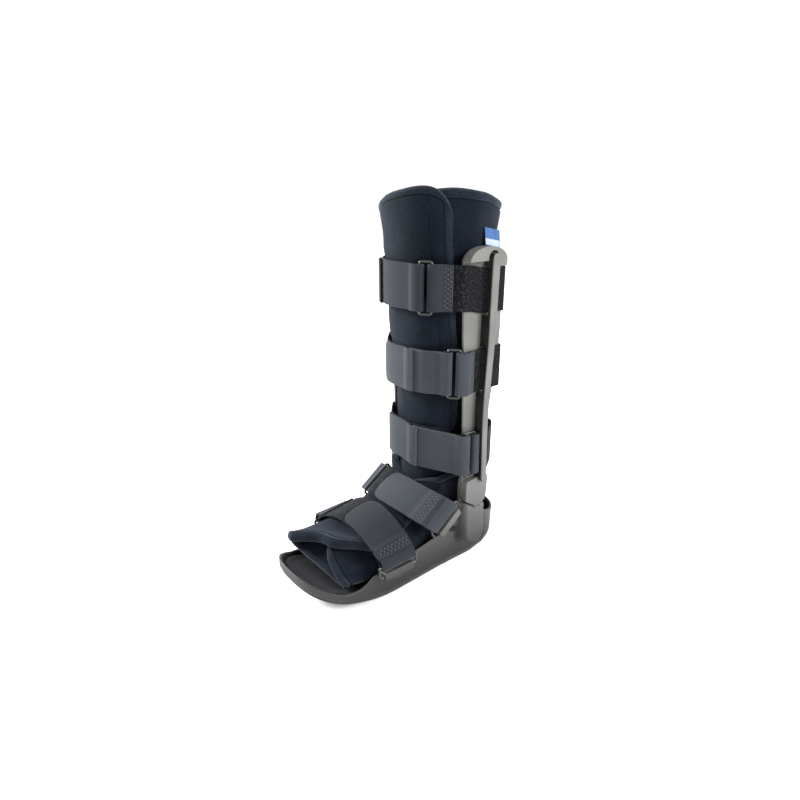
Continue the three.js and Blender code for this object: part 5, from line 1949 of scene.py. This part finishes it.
@dataclass
class FootStraps:
    """The two straps over the foot with their tabs and rings."""

    wrap: FootWrap
    centre: float = 8.0
    lift: float = 1.6
    bar_run: float = 4.0

    def build_one(self, strap: FootStrapSpec) -> None:
        """Builds one strap with its tab, stitches and rings."""
        half = strap.width / 2
        lift = self.lift + STRAP / 2
        rise = (math.sin(math.radians(strap.lean)), math.cos(math.radians(strap.lean)))

        def slope(height: float) -> float:
            """Direction of the strap's width at a height above the bars."""
            return math.radians(blend(strap.ring_slope, strap.top_slope, smooth(height, 4, strap.crown)))

        points = []
        tilt = slope(strap.crown)
        size = math.cos(tilt) * rise[1] + math.sin(tilt) * rise[0]
        for y in np.linspace(strap.y - 70, strap.y + 30, 40):
            for angle in np.linspace(-90, 90, 45):
                x, _, z = self.wrap.point(angle, float(y), lift)
                dy, dz = y - strap.y, z - strap.z
                height = (dz * math.cos(tilt) - dy * math.sin(tilt)) / size
                up = (dy * rise[1] + dz * rise[0]) / size
                if abs(up) < half + 4 and height > -2:
                    points.append((x, -height - self.centre))
        for side in (-1, 1):
            x = side * (strap.ring_x - FOLD)
            points += [(x, -self.centre - self.bar_run), (x, 0.0)]
        track = Track(convex_outline(points), self.centre, -96, 96)
        bar = math.degrees(math.atan2(strap.ring_x - FOLD, self.centre))
        start, end = track.length_at(-bar), track.length_at(bar)

        def spot(p: np.ndarray, up: float) -> np.ndarray:
            """A point of the strap's plane, moved along its width."""
            turn = slope(-p[1])
            return np.array([
                p[0],
                strap.y + p[1] * rise[0] + up * math.cos(turn),
                strap.z - p[1] * rise[1] + up * math.sin(turn),
            ])

        lap = strap.seam + FOOT_SEAM_WIDTH + 1
        band = Band(track.follow(folded_route(start, end, SEWN_LAP, lap)), STRAP, half, spot)
        bend = math.pi * FOLD
        zones = [(2 * SEWN_LAP + bend - 4, band.run[-1] - lap - bend - 8, 1)]
        cloth = band.mesh(f"{strap.name}_strap_cloth", zones)
        tab_line = tab_route(end - strap.seam, FOOT_SEAM_WIDTH, track.length_at(strap.tab))
        tab = Band(track.follow(tab_line), TAB, half, spot, 14.0)
        tab_cloth = tab.mesh(f"{strap.name}_tab_cloth")
        sewing = [
            tab.zigzag("tab_stitches", 1.4, FOOT_SEAM_WIDTH - 0.6, 8),
            tab.seam("tab_seam", 0.7),
            band.zigzag("far_stitches", 1.6, 9.4, 8),
        ]
        tab_finish = Finish.DARK_STRAP if strap.dark else Finish.TAB
        finish_strap(strap, cloth, tab_cloth, tab_finish, sewing)
        for side, word in SIDES:
            self.ring(strap, side, word)

    def ring(self, strap: FootStrapSpec, side: int, word: str) -> None:
        """Builds one wire ring in its lug."""
        turn = math.radians(strap.ring_slope)
        flat = ring_path(strap.bars, strap.width + strap.extra)
        path = []
        for a, b in flat:
            z = a - strap.bars / 2
            path.append((
                side * strap.ring_x,
                strap.y + b * math.cos(turn) - z * math.sin(turn),
                strap.z + b * math.sin(turn) + z * math.cos(turn),
            ))
        ring = dress(tube(f"{strap.name}_ring_{word}_wire", np.array(path), WIRE / 2), Finish.WIRE)
        declare(ring, [f"{strap.name}_ring_{word}"])

    def build(self) -> None:
        """Builds both straps."""
        for strap in FOOT_STRAPS:
            self.build_one(strap)


@dataclass
class Tag:
    """The small folded cloth tab above the near strut."""

    x: float = 60.8
    y: float = 83.0
    z: float = 377.8
    width: float = 22.0
    height: float = 17.7
    out: float = 2.4
    slope: float = 0.2
    pale: float = 0.42

    def build(self) -> bpy.types.Object:
        """Builds the tab with its pale lower part."""
        u = self.width * edged(self.width, 1.2, 0.35)
        v = self.height * edged(self.height, 0.8, 0.35)
        outer = np.zeros((len(v), len(u), 3))
        for i, up in enumerate(v):
            for j, across in enumerate(u):
                bow = 0.7 * math.sin(across / self.width * math.pi) * (1 - up / self.height)
                outer[i, j] = (
                    self.x + self.out * (1 - up / self.height) + bow + 0.4,
                    self.y + across - self.width / 2,
                    self.z + up - self.slope * (across - self.width / 2),
                )
        run, climb = np.meshgrid(u, v)
        tag = dress(pad("tag_cloth", outer, 0.7, run, climb), Finish.TAG_BLUE, Finish.TAG_WHITE)
        flat = np.concatenate([climb.ravel(), climb.ravel()])
        for face in tag.data.polygons:
            if max(flat[k] for k in face.vertices) < self.height * self.pale:
                face.material_index = 1
        return declare(tag, ["tag"])


@dataclass
class Studio:
    """Camera, floor and soft light."""

    eye: Point = (529.3, -416.2, 446.9)
    azimuth: float = 51.2
    pitch: float = 19.5
    focal_pixels: float = 632.9
    frame_pixels: float = 800.0
    sky: float = 1.13
    floor_reach: float = 6000.0
    lamps: tuple[tuple[str, Point, Point, float, float], ...] = (
        ("key", (-1.9, -1.1, 1.2), (0, 0, 0.22), 0.7, 150),
        ("side", (1.9, 0.7, 1.2), (0, 0, 0.2), 0.8, 76),
        ("top", (0.2, 0.3, 2.4), (0, 0, 0.2), 1.4, 8),
    )

    def camera(self) -> None:
        """Makes the camera at the photograph's angle."""
        lens = bpy.data.cameras.new("camera")
        lens.sensor_width = 36.0
        lens.lens = self.focal_pixels / self.frame_pixels * lens.sensor_width
        lens.clip_start, lens.clip_end = 0.01, 20
        camera = put("camera", lens)
        turn, down = math.radians(self.azimuth), math.radians(self.pitch)
        ahead = Vector((-math.sin(turn) * math.cos(down), math.cos(turn) * math.cos(down), -math.sin(down)))
        camera.location = Vector(self.eye) * MM
        camera.rotation_mode = "QUATERNION"
        camera.rotation_quaternion = ahead.to_track_quat("-Z", "Y")
        bpy.context.scene.camera = camera

    def lamp(self, name: str, place: Point, aim: Point, size: float, power: float) -> None:
        """Adds a soft square lamp that looks at a point.

        Args:
            name: the lamp's name.
            place: where it hangs, in metres.
            aim: the point that it looks at, in metres.
            size: the side of its square, in metres.
            power: its power in watts.
        """
        light = bpy.data.lights.new(name, "AREA")
        light.size = size
        light.energy = power
        lamp = put(name, light)
        lamp.location = place
        lamp.rotation_mode = "QUATERNION"
        lamp.rotation_quaternion = (Vector(aim) - Vector(place)).to_track_quat("-Z", "Y")

    def build(self) -> None:
        """Makes floor, sky and lamps."""
        corners = ((-1, -1), (1, -1), (1, 1), (-1, 1))
        points = [(x * self.floor_reach, y * self.floor_reach, 0) for x, y in corners]
        floor = make_object("floor", np.array(points, float), [[0, 1, 2, 3]])
        dress(floor, Finish.FLOOR)
        world = bpy.data.worlds.new("studio")
        world.use_nodes = True
        sky = world.node_tree.nodes["Background"]
        sky.inputs["Color"].default_value = (1, 1, 1, 1)
        sky.inputs["Strength"].default_value = self.sky
        bpy.context.scene.world = world
        for lamp in self.lamps:
            self.lamp(*lamp)
        bpy.context.scene.view_settings.view_transform = "Standard"


def main() -> None:
    """Builds the boot."""
    logging.basicConfig(level=logging.INFO, format="%(name)s %(message)s")
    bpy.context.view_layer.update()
    studio = Studio()
    studio.camera()
    sole = Sole()
    sole.outsole()
    sole.insole()
    Shell().build(FOOT_STRAPS)
    struts = Struts()
    struts.build(LEG_STRAPS)
    leg, foot = LegWrap(), FootWrap()
    leg.build(LEG_STRAPS)
    leg.strip(LEG_STRAPS)
    foot.build()
    foot.strip()
    foot.heel_tape()
    LegStraps(leg, struts).build()
    FootStraps(foot).build()
    Tag().build()
    studio.build()


if __name__ == "__main__":
    main()
